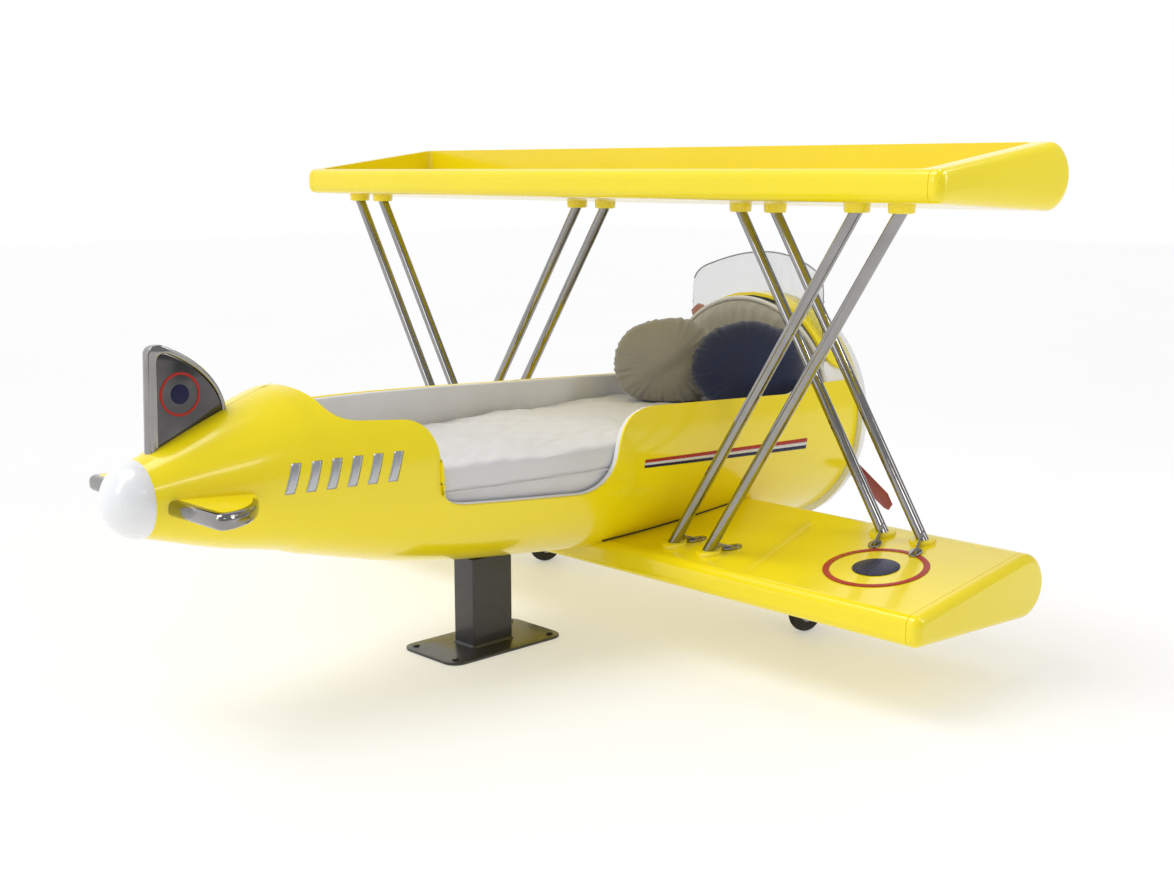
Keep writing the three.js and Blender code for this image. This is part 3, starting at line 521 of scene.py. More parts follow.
chrome = material("chrome", {"Metallic": 1.0, "Coat Weight": 0.3, "Coat Roughness": 0.02},
                  surface((9, 4), (0.24, 0.235, 0.23), (0.38, 0.37, 0.36), 0.03, (35, 5), 0.06, (26, 1), 0.0003))
mirror = material("dark_mirror", {"Metallic": 1.0},
                  surface((7, 4), (0.035, 0.036, 0.038), (0.17, 0.16, 0.155), 0.06, (20, 3), 0.08, (7, 1), 0.004))
fin_outer = outline((-1480, 780), [(-1466, 1150)], [(-1462, 1177), (-1420, 1174)],
                    [(-1330, 1140), (-1238, 1075), (-1216, 975)], [(-1206, 780)])
fin_inner = outline((-1446, 800), [(-1437, 1126)], [(-1433, 1150), (-1404, 1147)],
                    [(-1326, 1114), (-1248, 1056), (-1229, 975)], [(-1219, 800)])
upright = lambda u, v, w: (u, w, v)
piece("fin_rim", flat_plate([fin_outer, fin_inner], 36, 6, upright), chrome, ["fin_frame"])
post_line = np.array([[-1463 + 13 * share, 0, 830 + 300 * share] for share in np.linspace(0, 1, 12)])
piece("fin_post", bead(post_line, 19, (0, 1, 0), sides=32), chrome)
piece("fin_plate", flat_plate([fin_inner + np.array([0, -2])], 24, 1.5, upright), mirror,
      ["fin_panel"])

# Roundels: a plain red ring round a navy disc, in vinyl, on the fin and on the starboard lower wing.


def ring_loop(radius, count=96):
    turn = np.linspace(0, 2 * pi, count + 1)[:-1]
    return np.stack([radius * np.cos(turn), radius * np.sin(turn)], 1)


WING_REAR, WING_ROUND, WING_NOSE, WING_LIFT = 170, 798, 909, 1328
REAR_LOW, REAR_TOP, ROUND_LOW, ROUND_TOP = 251, 350, 221, 435


def wing_top(x):
    return REAR_TOP + (x - WING_REAR) * (ROUND_TOP - REAR_TOP) / (WING_ROUND - WING_REAR)


def wing_low(x):
    return REAR_LOW + (x - WING_REAR) * (ROUND_LOW - REAR_LOW) / (WING_ROUND - WING_REAR)


for spot, size, lay in [
    ("fin", 66, lambda u, v, w: (-1366 + u, -12.8 + w, 1023 + v)),
    ("wing", 174, lambda u, v, w: (463 + u, -1219 + v, wing_top(463 + u) + 1.2 + w)),
]:
    band = flat_plate([ring_loop(size), ring_loop(size * 0.88)], 1.0, 0.3, lay)
    piece(f"roundel_ring_{spot}", band, vinyl_red)
    disc = flat_plate([ring_loop(size * 0.45)], 1.0, 0.3, lay)
    piece(f"roundel_disc_{spot}", disc, vinyl_navy)

# The tailplanes: short yellow fins that grow out of the hull, edged behind and at the tip with chrome.
# On each side one rounded slab is parted into the chromed edge and the yellow blade.
plane_outer = outline((-1484, 60), [(-1480, 366)], [(-1478, 404), (-1440, 402)], [(-1320, 392), (-1232, 200)],
                      [(-1180, 60)])
edge_inner = outline((-1458, 40), [(-1454, 356)], [(-1452, 378), (-1432, 378)], [(-1345, 368), (-1286, 262)],
                     [(-1220, 330)], [(-1220, 500)], [(-1600, 500)], [(-1600, 40)])[:-1]
for side, sign in [("port", 1), ("starboard", -1)]:
    level = lambda u, v, w, sign=sign: (u, sign * v, 712 + w)
    slab = flat_plate([plane_outer], 50, 19, level)
    edge_block = np.stack([np.c_[edge_inner * [1, sign], np.full(len(edge_inner), w)] for w in (600.0, 820.0)])
    edge_tool = mesh_of([edge_block], around=True, caps=True)
    piece(f"tailplane_rim_{side}", carved(slab, edge_tool, "INTERSECT"), chrome,
          [f"tailplane_edge_{side}"], crease=50)
    piece(f"tailplane_blade_{side}", carved(slab, edge_tool, "DIFFERENCE"), yellow,
          [f"tailplane_root_{side}"], crease=50)

# The wings: hollow mouldings with a blunt rounded leading edge, a thin trailing face and capped tips.
# The upper one is a tray, open on top; the lower one carries the eight pads that the tubes stand on.


def wing_section(lift, corner=34):
    """Round the section from the lower rear corner: underside, round nose, sloping top and rear face."""
    rear, nose = WING_REAR, WING_NOSE
    low, top, rear_low, rear_top = (height + lift for height in (ROUND_LOW, ROUND_TOP, REAR_LOW, REAR_TOP))
    middle = (low + top) / 2
    return outline((rear + corner, rear_low), [(WING_ROUND, low)],
                   [(nose - 50, low - 3), (nose, middle - 60), (nose, middle)],
                   [(nose, middle + 60), (nose - 50, top + 8), (WING_ROUND, top)],
                   [(rear + corner, rear_top + 3)], [(rear, rear_top), (rear, rear_top - corner)],
                   [(rear, rear_low + corner)], [(rear, rear_low), (rear + corner, rear_low)])[:-1]


TIP_CAP, TIP_ROUND = 44, 30


def wing_body(lift, half_span):
    """The section carried across the span; towards each tip it shrinks over the cap's rounded edge,
    and a fine groove runs round it where the cap is bonded on."""
    turn = np.linspace(0, pi / 2, 10)
    ends = [(TIP_ROUND * (1 - cos(t)), TIP_ROUND * (1 - sin(t))) for t in turn]
    ends += [(TIP_CAP - 1.4, 0), (TIP_CAP, 2.6), (TIP_CAP + 1.4, 0), (TIP_CAP + 60, 0)]
    x, z = wing_section(lift).T
    at = np.minimum(x, WING_ROUND)
    half_height = (wing_top(at) - wing_low(at)) / 2
    half_length = (WING_NOSE - WING_REAR) / 2
    middle_x, middle_z = WING_REAR + half_length, wing_low(at) + half_height + lift
    rows = [(half_span - distance, inset) for distance, inset in ends]
    rows = [(-y, inset) for y, inset in rows] + [(y, inset) for y, inset in rows[::-1]]
    grid = np.stack([np.stack([middle_x + (x - middle_x) * (1 - inset / half_length), np.full(len(x), y),
                               middle_z + (z - middle_z) * (1 - inset / half_height)], -1) for y, inset in rows])
    return mesh_of([grid], around=True, caps=True)


LOWER_HALF_SPAN, UPPER_HALF_SPAN = 1584, 1600
piece("lower_wing", wing_body(0, LOWER_HALF_SPAN), yellow,
      ["lower_wing_port", "lower_wing_starboard", "lower_wing_tip_port", "lower_wing_tip_starboard"])
REAR_FOOT, REAR_HEAD, FRONT_FOOT, FRONT_HEAD, HALF_PITCH = (282, 563), (296, 1302), (738, 1131), (761, 438), 82
pad_profile = [(0, -8), (46, -8), (45.5, 4), (45, 9), (43.5, 11.2), (41, 12), (0, 12)]
pad_grids = []
for foot in (REAR_FOOT, FRONT_FOOT):
    for y in (foot[1] - HALF_PITCH, foot[1] + HALF_PITCH, -foot[1] - HALF_PITCH, -foot[1] + HALF_PITCH):
        pad = turned(pad_profile, "Z", 0, 48, foot[0], y)
        pad[..., 2] += wing_top(pad[..., 0])
        pad_grids.append(pad)
piece("wing_pads", mesh_of(pad_grids, around=True), yellow)

WELL_HALF_SPAN, TRAY_FLOOR, ABOVE_TRAY = 1526, 18, 1850.0
well_plan = rounded_box(196, 790, -WELL_HALF_SPAN, WELL_HALF_SPAN, 36)[:-1]
well_low = wing_low(well_plan[:, 0]) + WING_LIFT + TRAY_FLOOR
well = np.stack([np.c_[well_plan, well_low], np.c_[well_plan, np.full(len(well_plan), ABOVE_TRAY)]])
well_tool = mesh_of([well], around=True, caps=True)
tray_mesh = carved(wing_body(WING_LIFT, UPPER_HALF_SPAN), well_tool, "DIFFERENCE")
upper = piece("upper_wing_tray", tray_mesh, yellow,
              ["upper_wing", "upper_wing_tip_port", "upper_wing_tip_starboard"])
lip_edge = upper.modifiers.new("edge", "BEVEL")
lip_edge.width = 7 * MM
lip_edge.segments = 3
lip_edge.angle_limit = radians(40)
lip_edge.harden_normals = True

# The struts: chromed steel tubes in crossed pairs. Each stands on its pad with a welded web and an oval
# foot plate bolted to the wing, and goes into a yellow collar under the upper wing.


def strut_tube(foot, head, radius, sides=48):
    """A tube whose ends are level; its section across its own axis stays round."""
    foot, head = np.array(foot, float), np.array(head, float)
    lean = (head - foot)[:2]
    way = lean / np.linalg.norm(lean)
    stretch = np.linalg.norm(head - foot) / (head - foot)[2]
    turn = np.linspace(0, 2 * pi, sides + 1)[:-1]
    ring = np.stack([np.cos(turn), np.sin(turn)], 1) * radius
    ring = ring + np.outer(ring @ way, way) * (stretch - 1)
    share = np.linspace(0, 1, 9)[:, None, None]
    flat = np.c_[ring, np.zeros(sides)][None]
    return foot + (head - foot) * share + flat


def foot_plate(foot, distance, angle):
    """The oval plate and the upright web, turned about the foot and lifted onto the sloping wing."""
    def lay(u, v, w):
        x = foot[0] + u * cos(angle) - v * sin(angle)
        y = foot[1] + u * sin(angle) + v * cos(angle)
        return x, y, wing_top(x) + w
    oval = ring_loop(22, 48) * [1.7, 1] + [distance, 0]
    slot_hole = ring_loop(6, 20) * [2.2, 1] + [distance + 10, 0]
    side = outline((-6, 12.5), [(48, 12.5)], [(52, 1)], [(distance + 12, 1)], [(distance, 8)], [(49, 24)], [(-4, 46)])
    flat = flat_plate([oval, slot_hole], 6, 1.5, lambda u, v, w: lay(u, v, w + 3.3))
    web = flat_plate([side], 8, 1.5, lambda u, v, w: lay(u, w, v))
    return flat, web


def join(meshes):
    work = bmesh.new()
    for mesh in meshes:
        work.from_mesh(mesh)
    whole = bpy.data.meshes.new("joined")
    work.to_mesh(whole)
    work.free()
    return whole


collar_profile = [(0, -14), (34, -13.5), (38.5, -12), (40.5, -9), (42, 14), (42, 22), (0, 22)]
for place, foot, head, distance, turn in [("rear", REAR_FOOT, REAR_HEAD, 88, 26),
                                          ("front", FRONT_FOOT, FRONT_HEAD, 112, 158)]:
    for side, sign in [("port", 1), ("starboard", -1)]:
        for which, offset in [("inner", -HALF_PITCH), ("outer", HALF_PITCH)]:
            label = f"{place}_{side}_{which}"
            foot_x, foot_y = foot[0], sign * (foot[1] + offset)
            head_x, head_y = head[0], sign * (head[1] + offset)
            under = wing_low(head_x) + WING_LIFT
            tube = strut_tube((foot_x, foot_y, wing_top(foot_x) + 10), (head_x, head_y, under - 20), 20)
            tube_mesh = mesh_of([tube], around=True, caps=True)
            meshes = [tube_mesh, *foot_plate((foot_x, foot_y), distance, sign * radians(turn))]
            piece(f"tube_{label}", join(meshes), chrome, [f"strut_{label}"])
            collar = turned(collar_profile, "Z", under - 13, 56, head_x, head_y)
            piece(f"socket_{label}", mesh_of([collar], around=True), yellow,
                  [f"collar_{label}"])

# The wall liner: a thin quilted pad of pale satin buttoned to the inside of the tub, with a rolled top
# edge that shows as a white line along the opening and the step. It has soft upright puckers.


def fabric(name, light, dark, pitch, relief, sheen, rough=0.75):
    """Woven cloth: colour clouded and threaded, two crossed wave patterns for the weave, and soft creases."""
    def varies(here):
        cloud = noise(here, 5.0, 4.0)
        threads = [here.node("ShaderNodeTexWave", {"wave_type": "BANDS", "bands_direction": axis},
                             {"Vector": here, "Scale": 0.3142 / pitch, "Distortion": 0.6}) for axis in ("X", "Z")]
        weave = threads[0] * threads[1]
        creases = noise(here, 16, 5.0)
        colour = mixed(cloud * 0.7 + weave * 0.3, dark, light)
        return {"Base Color": colour, "Roughness": rough + cloud * 0.15,
                "Normal": bumps(creases * (relief * 1000) + weave * 0.25, 0.001)}
    return material(name, {"Sheen Weight": sheen, "Sheen Roughness": 0.4, "IOR": 1.4}, varies)


quilt = fabric("liner_quilt", (0.90, 0.90, 0.91), (0.80, 0.80, 0.82), 0.0011, 0.004, 0.25)
LINER, DECK = 11, 556


def liner_half(rim, side):
    """From the hull's inner wall over a rolled top edge and down the wall to the deck; the pad's depth
    puckers along the wall and thins at the bottom."""
    rim = even(rim[(rim[:, 0] > -976) & (rim[:, 0] < 1194)], 260)
    roll = np.linspace(0, pi, 9)
    inset = np.r_[SHELL - 6 + (LINER + 6) / 2 * (1 - np.cos(roll)), np.full(24, SHELL + LINER), SHELL + 1][None, :]
    rise = np.r_[5 * np.sin(roll), np.zeros(25)][None, :]
    share = np.r_[np.zeros(9), np.linspace(0, 1, 26)[1:]][None, :]
    x = rim[:, :1] + 0 * share
    low = np.arcsin(np.clip((DECK - along_hull(x, 2)) / (along_hull(x, 1) - SHELL), -1, 1))
    top = rim_angle(rim, 3)[:, None]
    fullness = np.sin(pi * np.clip(share, 0, 1)) ** 0.6
    pucker = 2.2 * np.sin(x / 37 + 0.8 * np.sin(x / 121)) + 1.3 * np.sin(x / 13.7 + side)
    depth = inset + fullness * (3 + pucker) * (share > 0)
    return on_hull(x, top * (1 - share) + low * share + rise / along_hull(x, 1), side, depth)


for name, rim, side, nodes in [
    ("liner_port", port_rim, 1, ["wall_liner_port"]),
    ("liner_starboard", starboard_rim, -1, ["wall_liner_starboard_front", "wall_liner_starboard_rear"]),
]:
    piece(name, mesh_of([liner_half(rim, side)], inside=(0, side * 900, 750)), quilt, nodes)

# The mattress: foam in a fitted satin cover, cut to the tub's plan, with a piped seam round its side,
# long soft creases on top and a fold across it below the cushions.


def shrunk(loop, inset):
    """A closed outline moved inwards along its own normals."""
    tangent = np.roll(loop, -1, 0) - np.roll(loop, 1, 0)
    normal = np.stack([-tangent[:, 1], tangent[:, 0]], 1)
    normal /= np.linalg.norm(normal, axis=1, keepdims=True) + 1e-9
    if (normal * (loop.mean(0) - loop)).sum() < 0:
        normal = -normal
    return loop + normal * inset


def padded_block(loop, rows):
    """A closed outline carried through rows of (inset, height), and capped at both ends."""
    return mesh_of([np.stack([np.c_[shrunk(loop, inset), np.full(len(loop), w)] for inset, w in rows])],
                   around=True, caps=True)


def reshaped(mesh, move):
    """Moves every vertex by a function of whole arrays: positions and normals in millimetres."""
    count = len(mesh.vertices)
    at, normal = np.empty(count * 3), np.empty(count * 3)
    mesh.vertices.foreach_get("co", at)
    mesh.vertex_normals.foreach_get("vector", normal)
    moved = move(at.reshape(-1, 3) / MM, normal.reshape(-1, 3))
    mesh.vertices.foreach_set("co", (moved * MM).ravel())
    mesh.update()


def plumped(mesh, voxel, cap, pressure=4.0):
    """Remeshes a soft shape into small even quads and blows it up as cloth, no point moving more than cap."""
    holder = bpy.data.objects.new("plumping", mesh)
    scene.collection.objects.link(holder)
    grain = holder.modifiers.new("grain", "REMESH")
    grain.mode = "VOXEL"
    grain.voxel_size = voxel * MM
    bpy.context.view_layer.update()
    graph = bpy.context.evaluated_depsgraph_get()
    small = bpy.data.meshes.new_from_object(holder.evaluated_get(graph))
    holder.modifiers.clear()
    holder.data = small
    before = np.empty(len(small.vertices) * 3)
    small.vertices.foreach_get("co", before)
    cloth = holder.modifiers.new("cloth", "CLOTH")
    cloth.settings.quality = 4
    cloth.settings.use_pressure = True
    cloth.settings.uniform_pressure_force = pressure
    cloth.settings.effector_weights.gravity = 0
    cloth.collision_settings.use_collision = False
    for number in range(1, 21):
        scene.frame_set(number)
    graph = bpy.context.evaluated_depsgraph_get()
    after = np.empty(len(small.vertices) * 3)
    holder.evaluated_get(graph).data.vertices.foreach_get("co", after)
    shift = (after - before).reshape(-1, 3)
    length = np.linalg.norm(shift, axis=1, keepdims=True) + 1e-9
    shift *= np.minimum(1, cap * MM / length)
    holder.modifiers.clear()
    small.vertices.foreach_set("co", before + shift.ravel())
    scene.frame_set(1)
    bpy.data.objects.remove(holder)
    return small


def crease(x, y, start, end, depth, width):
    """A long soft groove between two points, fading towards its ends."""
    start, end = np.array(start, float), np.array(end, float)
    run = end - start
    length = np.hypot(*run)
    share = ((x - start[0]) * run[0] + (y - start[1]) * run[1]) / length ** 2
    off = ((x - start[0]) * run[1] - (y - start[1]) * run[0]) / length
    return depth * np.exp(-(off / width) ** 2) * np.clip(np.sin(pi * np.clip(share, 0, 1)), 0, 1) ** 0.5


MATTRESS_LOW = 558


def bed_outline(height):
    """The tub's inside at one height, from the foot to the head, as a closed line with soft corners."""
    x = np.linspace(-884, 1188, 60)
    y = np.sqrt((along_hull(x, 1) - SHELL - LINER - 4) ** 2 - (height - along_hull(x, 2)) ** 2)
    loop = even(np.vstack([np.stack([x, y], 1), np.stack([x, -y], 1)[::-1], [(x[0], y[0])]]), 301)[:-1]
    for _ in range(6):
        loop = (np.roll(loop, 1, 0) + 2 * loop + np.roll(loop, -1, 0)) / 4
    return loop


mattress_rows = [(26, 560), (8, 563), (1, 578), (0, 620), (0, 680), (0, 735), (8, 748), (28, 752)]
mattress_grid = np.stack([np.c_[shrunk(bed_outline(w), inset), np.full(300, float(w))] for inset, w in mattress_rows])
mattress_block = mesh_of([mattress_grid], around=True, caps=True)
cotton = fabric("sheet_cotton", (0.80, 0.80, 0.82), (0.70, 0.70, 0.73), 0.0009, 0.003, 0.3)
mattress_mesh = plumped(mattress_block, 14, 5)


def mattress_creases(at, normal):
    x, y, z = at.T
    top = np.clip((z - 735) / 12, 0, 1)
    side = np.clip(1 - abs(z - 655) / 80, 0, 1)
    soft = 3.6 * np.sin(x / 83 + 1.3 * np.sin(y / 97)) + 3.0 * np.sin((x + 1.7 * y) / 46 + 1.6 * np.sin(x / 140))
    soft += 2.0 * np.sin((x - 0.8 * y) / 19 + 2.5 * np.sin(y / 71)) * np.sin(x / 210 + y / 130)
    lines = sum(crease(x, y, *ends, depth, width) for ends, depth, width in [
        (((560, 330), (760, -330)), 15, 9), (((-560, -220), (120, 120)), 4, 14), (((-700, 60), (-180, 170)), 4, 12),
        (((-300, -300), (420, -120)), 4, 13), (((-60, 40), (520, 230)), 3, 12), (((120, -290), (600, -60)), 3.5, 12),
        (((-820, -60), (-520, -120)), 4, 12), (((-450, 120), (40, 300)), 3, 13),
    ])
    sag = 2.2 * np.sin(x / 29 + 2 * np.sin(z / 60)) * side
    seam = 4.5 * np.exp(-((z - 662) / 5.5) ** 2) * np.clip(1 - top, 0, 1)
    flat = np.clip(normal[:, 2], 0, 1)
    moved = at + normal * (sag - seam)[:, None] * (1 - flat)[:, None]
    moved[:, 2] += (soft - lines - 1.5) * top * flat
    moved[:, 2] = np.maximum(moved[:, 2], MATTRESS_LOW)
    return moved


reshaped(mattress_mesh, mattress_creases)
mattress = piece("mattress_cover", mattress_mesh, cotton, ["mattress"], rounds=1, crease=180)
piping_path = np.c_[shrunk(bed_outline(662), 1), np.full(300, 662.0)]
piece("mattress_piping", bead(piping_path, 2.6, (0, 0, 1), closed=True), cotton)

# The head pad: an arch of foam in linen, buttoned to a white panel inside the hood, with a pale piped rim.
linen = fabric("pad_linen", (0.46, 0.44, 0.395), (0.37, 0.35, 0.315), 0.0016, 0.004, 0.3)
piping_cloth = fabric("piping_cloth", (0.74, 0.73, 0.70), (0.64, 0.63, 0.60), 0.0010, 0.001, 0.3)
PAD_R, PAD_Z = 446, 717
arch_turn = np.linspace(0.02, pi - 0.02, 90)
arch = np.stack([PAD_R * np.cos(arch_turn), PAD_Z + PAD_R * np.sin(arch_turn)], 1)
arch_loop = even(np.vstack([arch, [(-380, 706), (380, 706)], arch[:1]]), 241)[:-1]
pad_rows = [(30, 1203), (13, 1206), (2, 1216), (1, 1230), (3, 1248), (5, 1304), (14, 1314), (28, 1316)]
pad_mesh = padded_block(arch_loop, pad_rows)
reshaped(pad_mesh, lambda at, normal: at[:, [2, 0, 1]])
pad_work = plumped(pad_mesh, 8, 8)


def pad_shape(at, normal):
    x, y, z = at.T
    out = np.hypot(y, z - PAD_Z) / PAD_R
    turn = np.arctan2(z - PAD_Z, y)
    gather = 1.8 * np.sin(46 * turn + 2 * np.sin(5 * turn)) * np.clip((out - 0.72) / 0.2, 0, 1)
    soft = 2.0 * np.sin(y / 61 + np.sin(z / 80)) * np.sin(z / 73)
    front = np.clip(-normal[:, 0], 0, 1)
    moved = at.copy()
    moved[:, 0] += (gather + soft) * front
    return moved


reshaped(pad_work, pad_shape)
head_pad = piece("head_pad", pad_work, linen, ["headboard_pad"], rounds=1, crease=180)
PIPING_X, PIPING_R = 1216.0, PAD_R - 3
rim_path = np.stack([np.full(90, PIPING_X), PIPING_R * np.cos(arch_turn), PAD_Z + PIPING_R * np.sin(arch_turn)], 1)
piece("pad_piping", bead(rim_path, 9, (1, 0, 0)), piping_cloth)

# The two round cushions: satin covers gathered at the rim over a soft filling, standing on edge
# on the mattress, turned half towards the port side and leaning back a little.
HALF_THICK, HALF_WIDE, HALF_TALL, MATTRESS_TOP = 112, 232, 192, 761
TURN, LEAN = radians(44), 0.12
leaning = np.array([[cos(LEAN), 0, sin(LEAN)], [0, 1, 0], [-sin(LEAN), 0, cos(LEAN)]])
cushion_axes = np.array([[cos(TURN), -sin(TURN), 0], [sin(TURN), cos(TURN), 0], [0, 0, 1]]) @ leaning


def cushion(name, centre, cloth, node, seed):
    """A disc swelling to its middle, blown up as cloth; then a pulled-in seam and radial gathers at the rim."""
    polar, around = np.meshgrid(np.linspace(0, pi, 40), np.linspace(0, 2 * pi, 73)[:-1], indexing="ij")
    out = np.sin(polar) ** 0.72
    local = np.stack([(HALF_THICK - 14) * np.sign(np.cos(polar)) * abs(np.cos(polar)) ** 0.9,
                      (HALF_WIDE - 10) * out * np.cos(around), (HALF_TALL - 10) * out * np.sin(around)], -1)
    rough = mesh_of([local @ cushion_axes.T + np.array(centre, float)], around=True)
    soft = plumped(rough, 6, 13)

    def gathers(at, normal):
        inner = (at - centre) @ cushion_axes
        across, up = inner[:, 1] / HALF_WIDE, inner[:, 2] / HALF_TALL
        out, turn = np.hypot(across, up), np.arctan2(up, across)
        side = np.sign(inner[:, 0])
        rim = np.clip((out - 0.38) / 0.55, 0, 1) ** 1.3
        fold = np.sin(23 * turn + 2.6 * np.sin(3 * turn + seed) + side) + 0.7 * np.sin(41 * turn + 3 * out + seed)
        fold *= 0.5 + 0.5 * np.sin(4 * turn + 2 * seed + side) * np.sin(7 * turn + seed)
        seam = 7 * np.exp(-(inner[:, 0] / 6) ** 2) * np.clip((out - 0.8) / 0.15, 0, 1)
        lumps = 5 * np.sin(5 * across + seed) * np.sin(4 * up + 1 + seed)
        drape = 3.2 * np.sin(9 * across + 5 * up + 2 * np.sin(3 * up + seed)) * np.clip(1.1 - out, 0, 1)
        moved = at + normal * (4.4 * rim * fold - seam + lumps + drape)[:, None]
        moved[:, 2] = np.maximum(moved[:, 2], MATTRESS_TOP + 0.25 * (moved[:, 2] - MATTRESS_TOP))
        return moved

    reshaped(soft, gathers)
    made = piece(name, soft, cloth, [node], rounds=1, crease=180)


taupe = fabric("taupe_satin", (0.36, 0.335, 0.275), (0.26, 0.24, 0.20), 0.0012, 0.003, 0.5, rough=0.55)
navy = fabric("navy_satin", (0.017, 0.027, 0.082), (0.008, 0.012, 0.040), 0.0012, 0.003, 0.4, rough=0.55)
cushion("round_cushion_taupe", (900, 134, 908), taupe, "cushion_taupe", seed=0.4)
cushion("round_cushion_navy", (990, -212, 912), navy, "cushion_navy", seed=1.9)

# The windscreen: a sheet of clear acrylic bent over the hood and screwed to it, its edge polished.
clear = material("clear_screen", {"Transmission Weight": 0.9, "IOR": 1.3, "Base Color": (0.82, 0.83, 0.84)},
                 lambda here: {"Roughness": 0.03 + noise(here, 40, 4.0) * 0.05})
SCREEN_HALF, SCREEN_SAG, SCREEN_EDGE = 349, 70, 1288
screen_radius = (SCREEN_HALF ** 2 + SCREEN_SAG ** 2) / (2 * SCREEN_SAG)
screen_rim = outline((-SCREEN_HALF - 1, 1170), [(-SCREEN_HALF, 1240), (-SCREEN_HALF + 24, 1268), (-269, 1288)],
                     [(0, 1398), (269, 1288)],
                     [(SCREEN_HALF - 24, 1268), (SCREEN_HALF, 1240), (SCREEN_HALF + 1, 1170)])
screen_rim = even(screen_rim, 121)
screen_y = np.clip(screen_rim[:, :1], -SCREEN_HALF, SCREEN_HALF)
screen_x = SCREEN_EDGE + SCREEN_SAG - screen_radius + np.sqrt(screen_radius ** 2 - screen_y ** 2)
hood_top = along_hull(screen_x, 2) + np.sqrt((along_hull(screen_x, 1) + 1) ** 2 - screen_y ** 2)
screen_share = np.linspace(0, 1, 16)[None, :]
screen_z = hood_top * (1 - screen_share) + screen_rim[:, 1:] * screen_share
screen = np.stack(np.broadcast_arrays(screen_x, screen_y, screen_z), -1)
piece("bent_screen", mesh_of([screen], inside=(900, 0, 1150)), clear, ["windscreen"],
      wall=5, bevel=1)
edge_share = (np.arange(121) > 6) & (np.arange(121) < 114)
edge_path = np.stack([screen_x[:, 0] - 2.5, screen_y[:, 0], screen_rim[:, 1]], 1)[edge_share]
edge_grey = material("screen_edge", {"Coat Weight": 0.3},
                     surface((12, 3), (0.22, 0.225, 0.23), (0.34, 0.345, 0.35), 0.2, (50, 3), 0.15))
piece("screen_edge", bead(edge_path, 3.2, (1, 0, 0)), edge_grey)
screw_grids = []
for y in (-240, -120, 0, 120, 240):
    x = SCREEN_EDGE + SCREEN_SAG - screen_radius + (screen_radius ** 2 - y ** 2) ** 0.5
    z = float(along_hull(x, 2)) + (float(along_hull(x, 1)) ** 2 - y ** 2) ** 0.5 + 14
    head = turned([(0, 4), (4, 3.4), (7, 1.6), (8, 0), (0, 0)], "X", z, 24, y=y)
    head[..., 0] = x - 5 - head[..., 0]
    screw_grids.append(head)
piece("screen_screws", mesh_of(screw_grids, around=True), chrome)

# The propeller: two painted blades in a steel hub with a chromed spinner, turning on a steel shaft.


def painted(name, light, dark):
    return material(name, {"Coat Weight": 0.35, "Coat Roughness": 0.06},
                    surface((18, 4), dark, light, 0.25, (70, 4), 0.2, (320, 1), 0.00015))


red = painted("red_paint", (0.34, 0.030, 0.014), (0.24, 0.016, 0.010))
black = painted("black_paint", (0.030, 0.030, 0.033), (0.016, 0.016, 0.018))
steel = material("brushed_steel", {"Metallic": 1.0},
                 surface((22, 4), (0.42, 0.43, 0.44), (0.60, 0.61, 0.62), 0.24, (120, 4), 0.2, (400, 2), 0.0001))
PROP_X, PROP_Z, PROP_R, PROP_TILT = 1512, 696, 664, radians(34)
blade_low = outline((50, -24), [(160, -30), (220, -46), (330, -48)], [(PROP_R - 40, -42)], [(PROP_R, -14)])
blade_high = outline((50, 24), [(160, 30), (220, 42), (330, 44)], [(PROP_R - 30, 42)], [(PROP_R - 6, 30)],
                     [(PROP_R, -14)])
span = np.r_[np.linspace(50, 620, 60), np.linspace(624, PROP_R, 24)]
low, high = np.interp(span, *blade_low.T), np.interp(span, *blade_high.T)
foil_turn = np.linspace(0, 2 * pi, 41)[:-1]
chord = (low + high)[:, None] / 2 + (high - low)[:, None] / 2 * np.cos(foil_turn)
depth = np.interp(span, [50, 90, 330, 640, PROP_R], [9, 7.5, 6.5, 4.5, 1.5])[:, None] * np.sin(foil_turn)
pitch = radians(20)
blade_x = chord * np.sin(pitch) + depth * np.cos(pitch)
blade_across = chord * np.cos(pitch) - depth * np.sin(pitch)
blade_out = span[:, None] + 0 * chord
for which, turn in [("one", pi), ("two", 0)]:
    angle = turn + PROP_TILT
    blade = np.stack([PROP_X + blade_x, blade_out * cos(angle) - blade_across * sin(angle),
                      PROP_Z + blade_out * sin(angle) + blade_across * cos(angle)], -1)
    piece(f"blade_{which}", mesh_of([blade], around=True, caps=True), red,
          [f"propeller_blade_{which}"], body="propeller", crease=50)
hub_profile = [(0, 1490.6), (66, 1490.6), (72, 1493), (74, 1498), (74, 1506), (70, 1509), (70, 1517), (74, 1520),
               (74, 1528), (72, 1533), (68, 1535.6), (0, 1535.6)]
piece("prop_hub", mesh_of([turned(hub_profile, "X", PROP_Z, 96)], around=True), steel,
      ["propeller_hub"], body="propeller", crease=28)
nose_turn = np.linspace(0, pi / 2, 26)
cone = np.stack([72 * np.cos(nose_turn), 1536.6 + 83.2 * np.sin(nose_turn) ** 1.05], 1)
cone = np.vstack([[(0, 1536.2), (70, 1536.2)], cone])
piece("prop_cone", mesh_of([turned(cone, "X", PROP_Z, 96)], around=True), chrome, ["spinner"],
      body="propeller")

# The wheels: solid rubber tyres with grooved treads on steel discs, in black forks bolted under the wing.
rubber = material("tyre_rubber", {"IOR": 1.45},
                  surface((30, 5), (0.012, 0.012, 0.012), (0.035, 0.034, 0.033), 0.7, (60, 4), 0.25,
                          (500, 3), 0.0003))
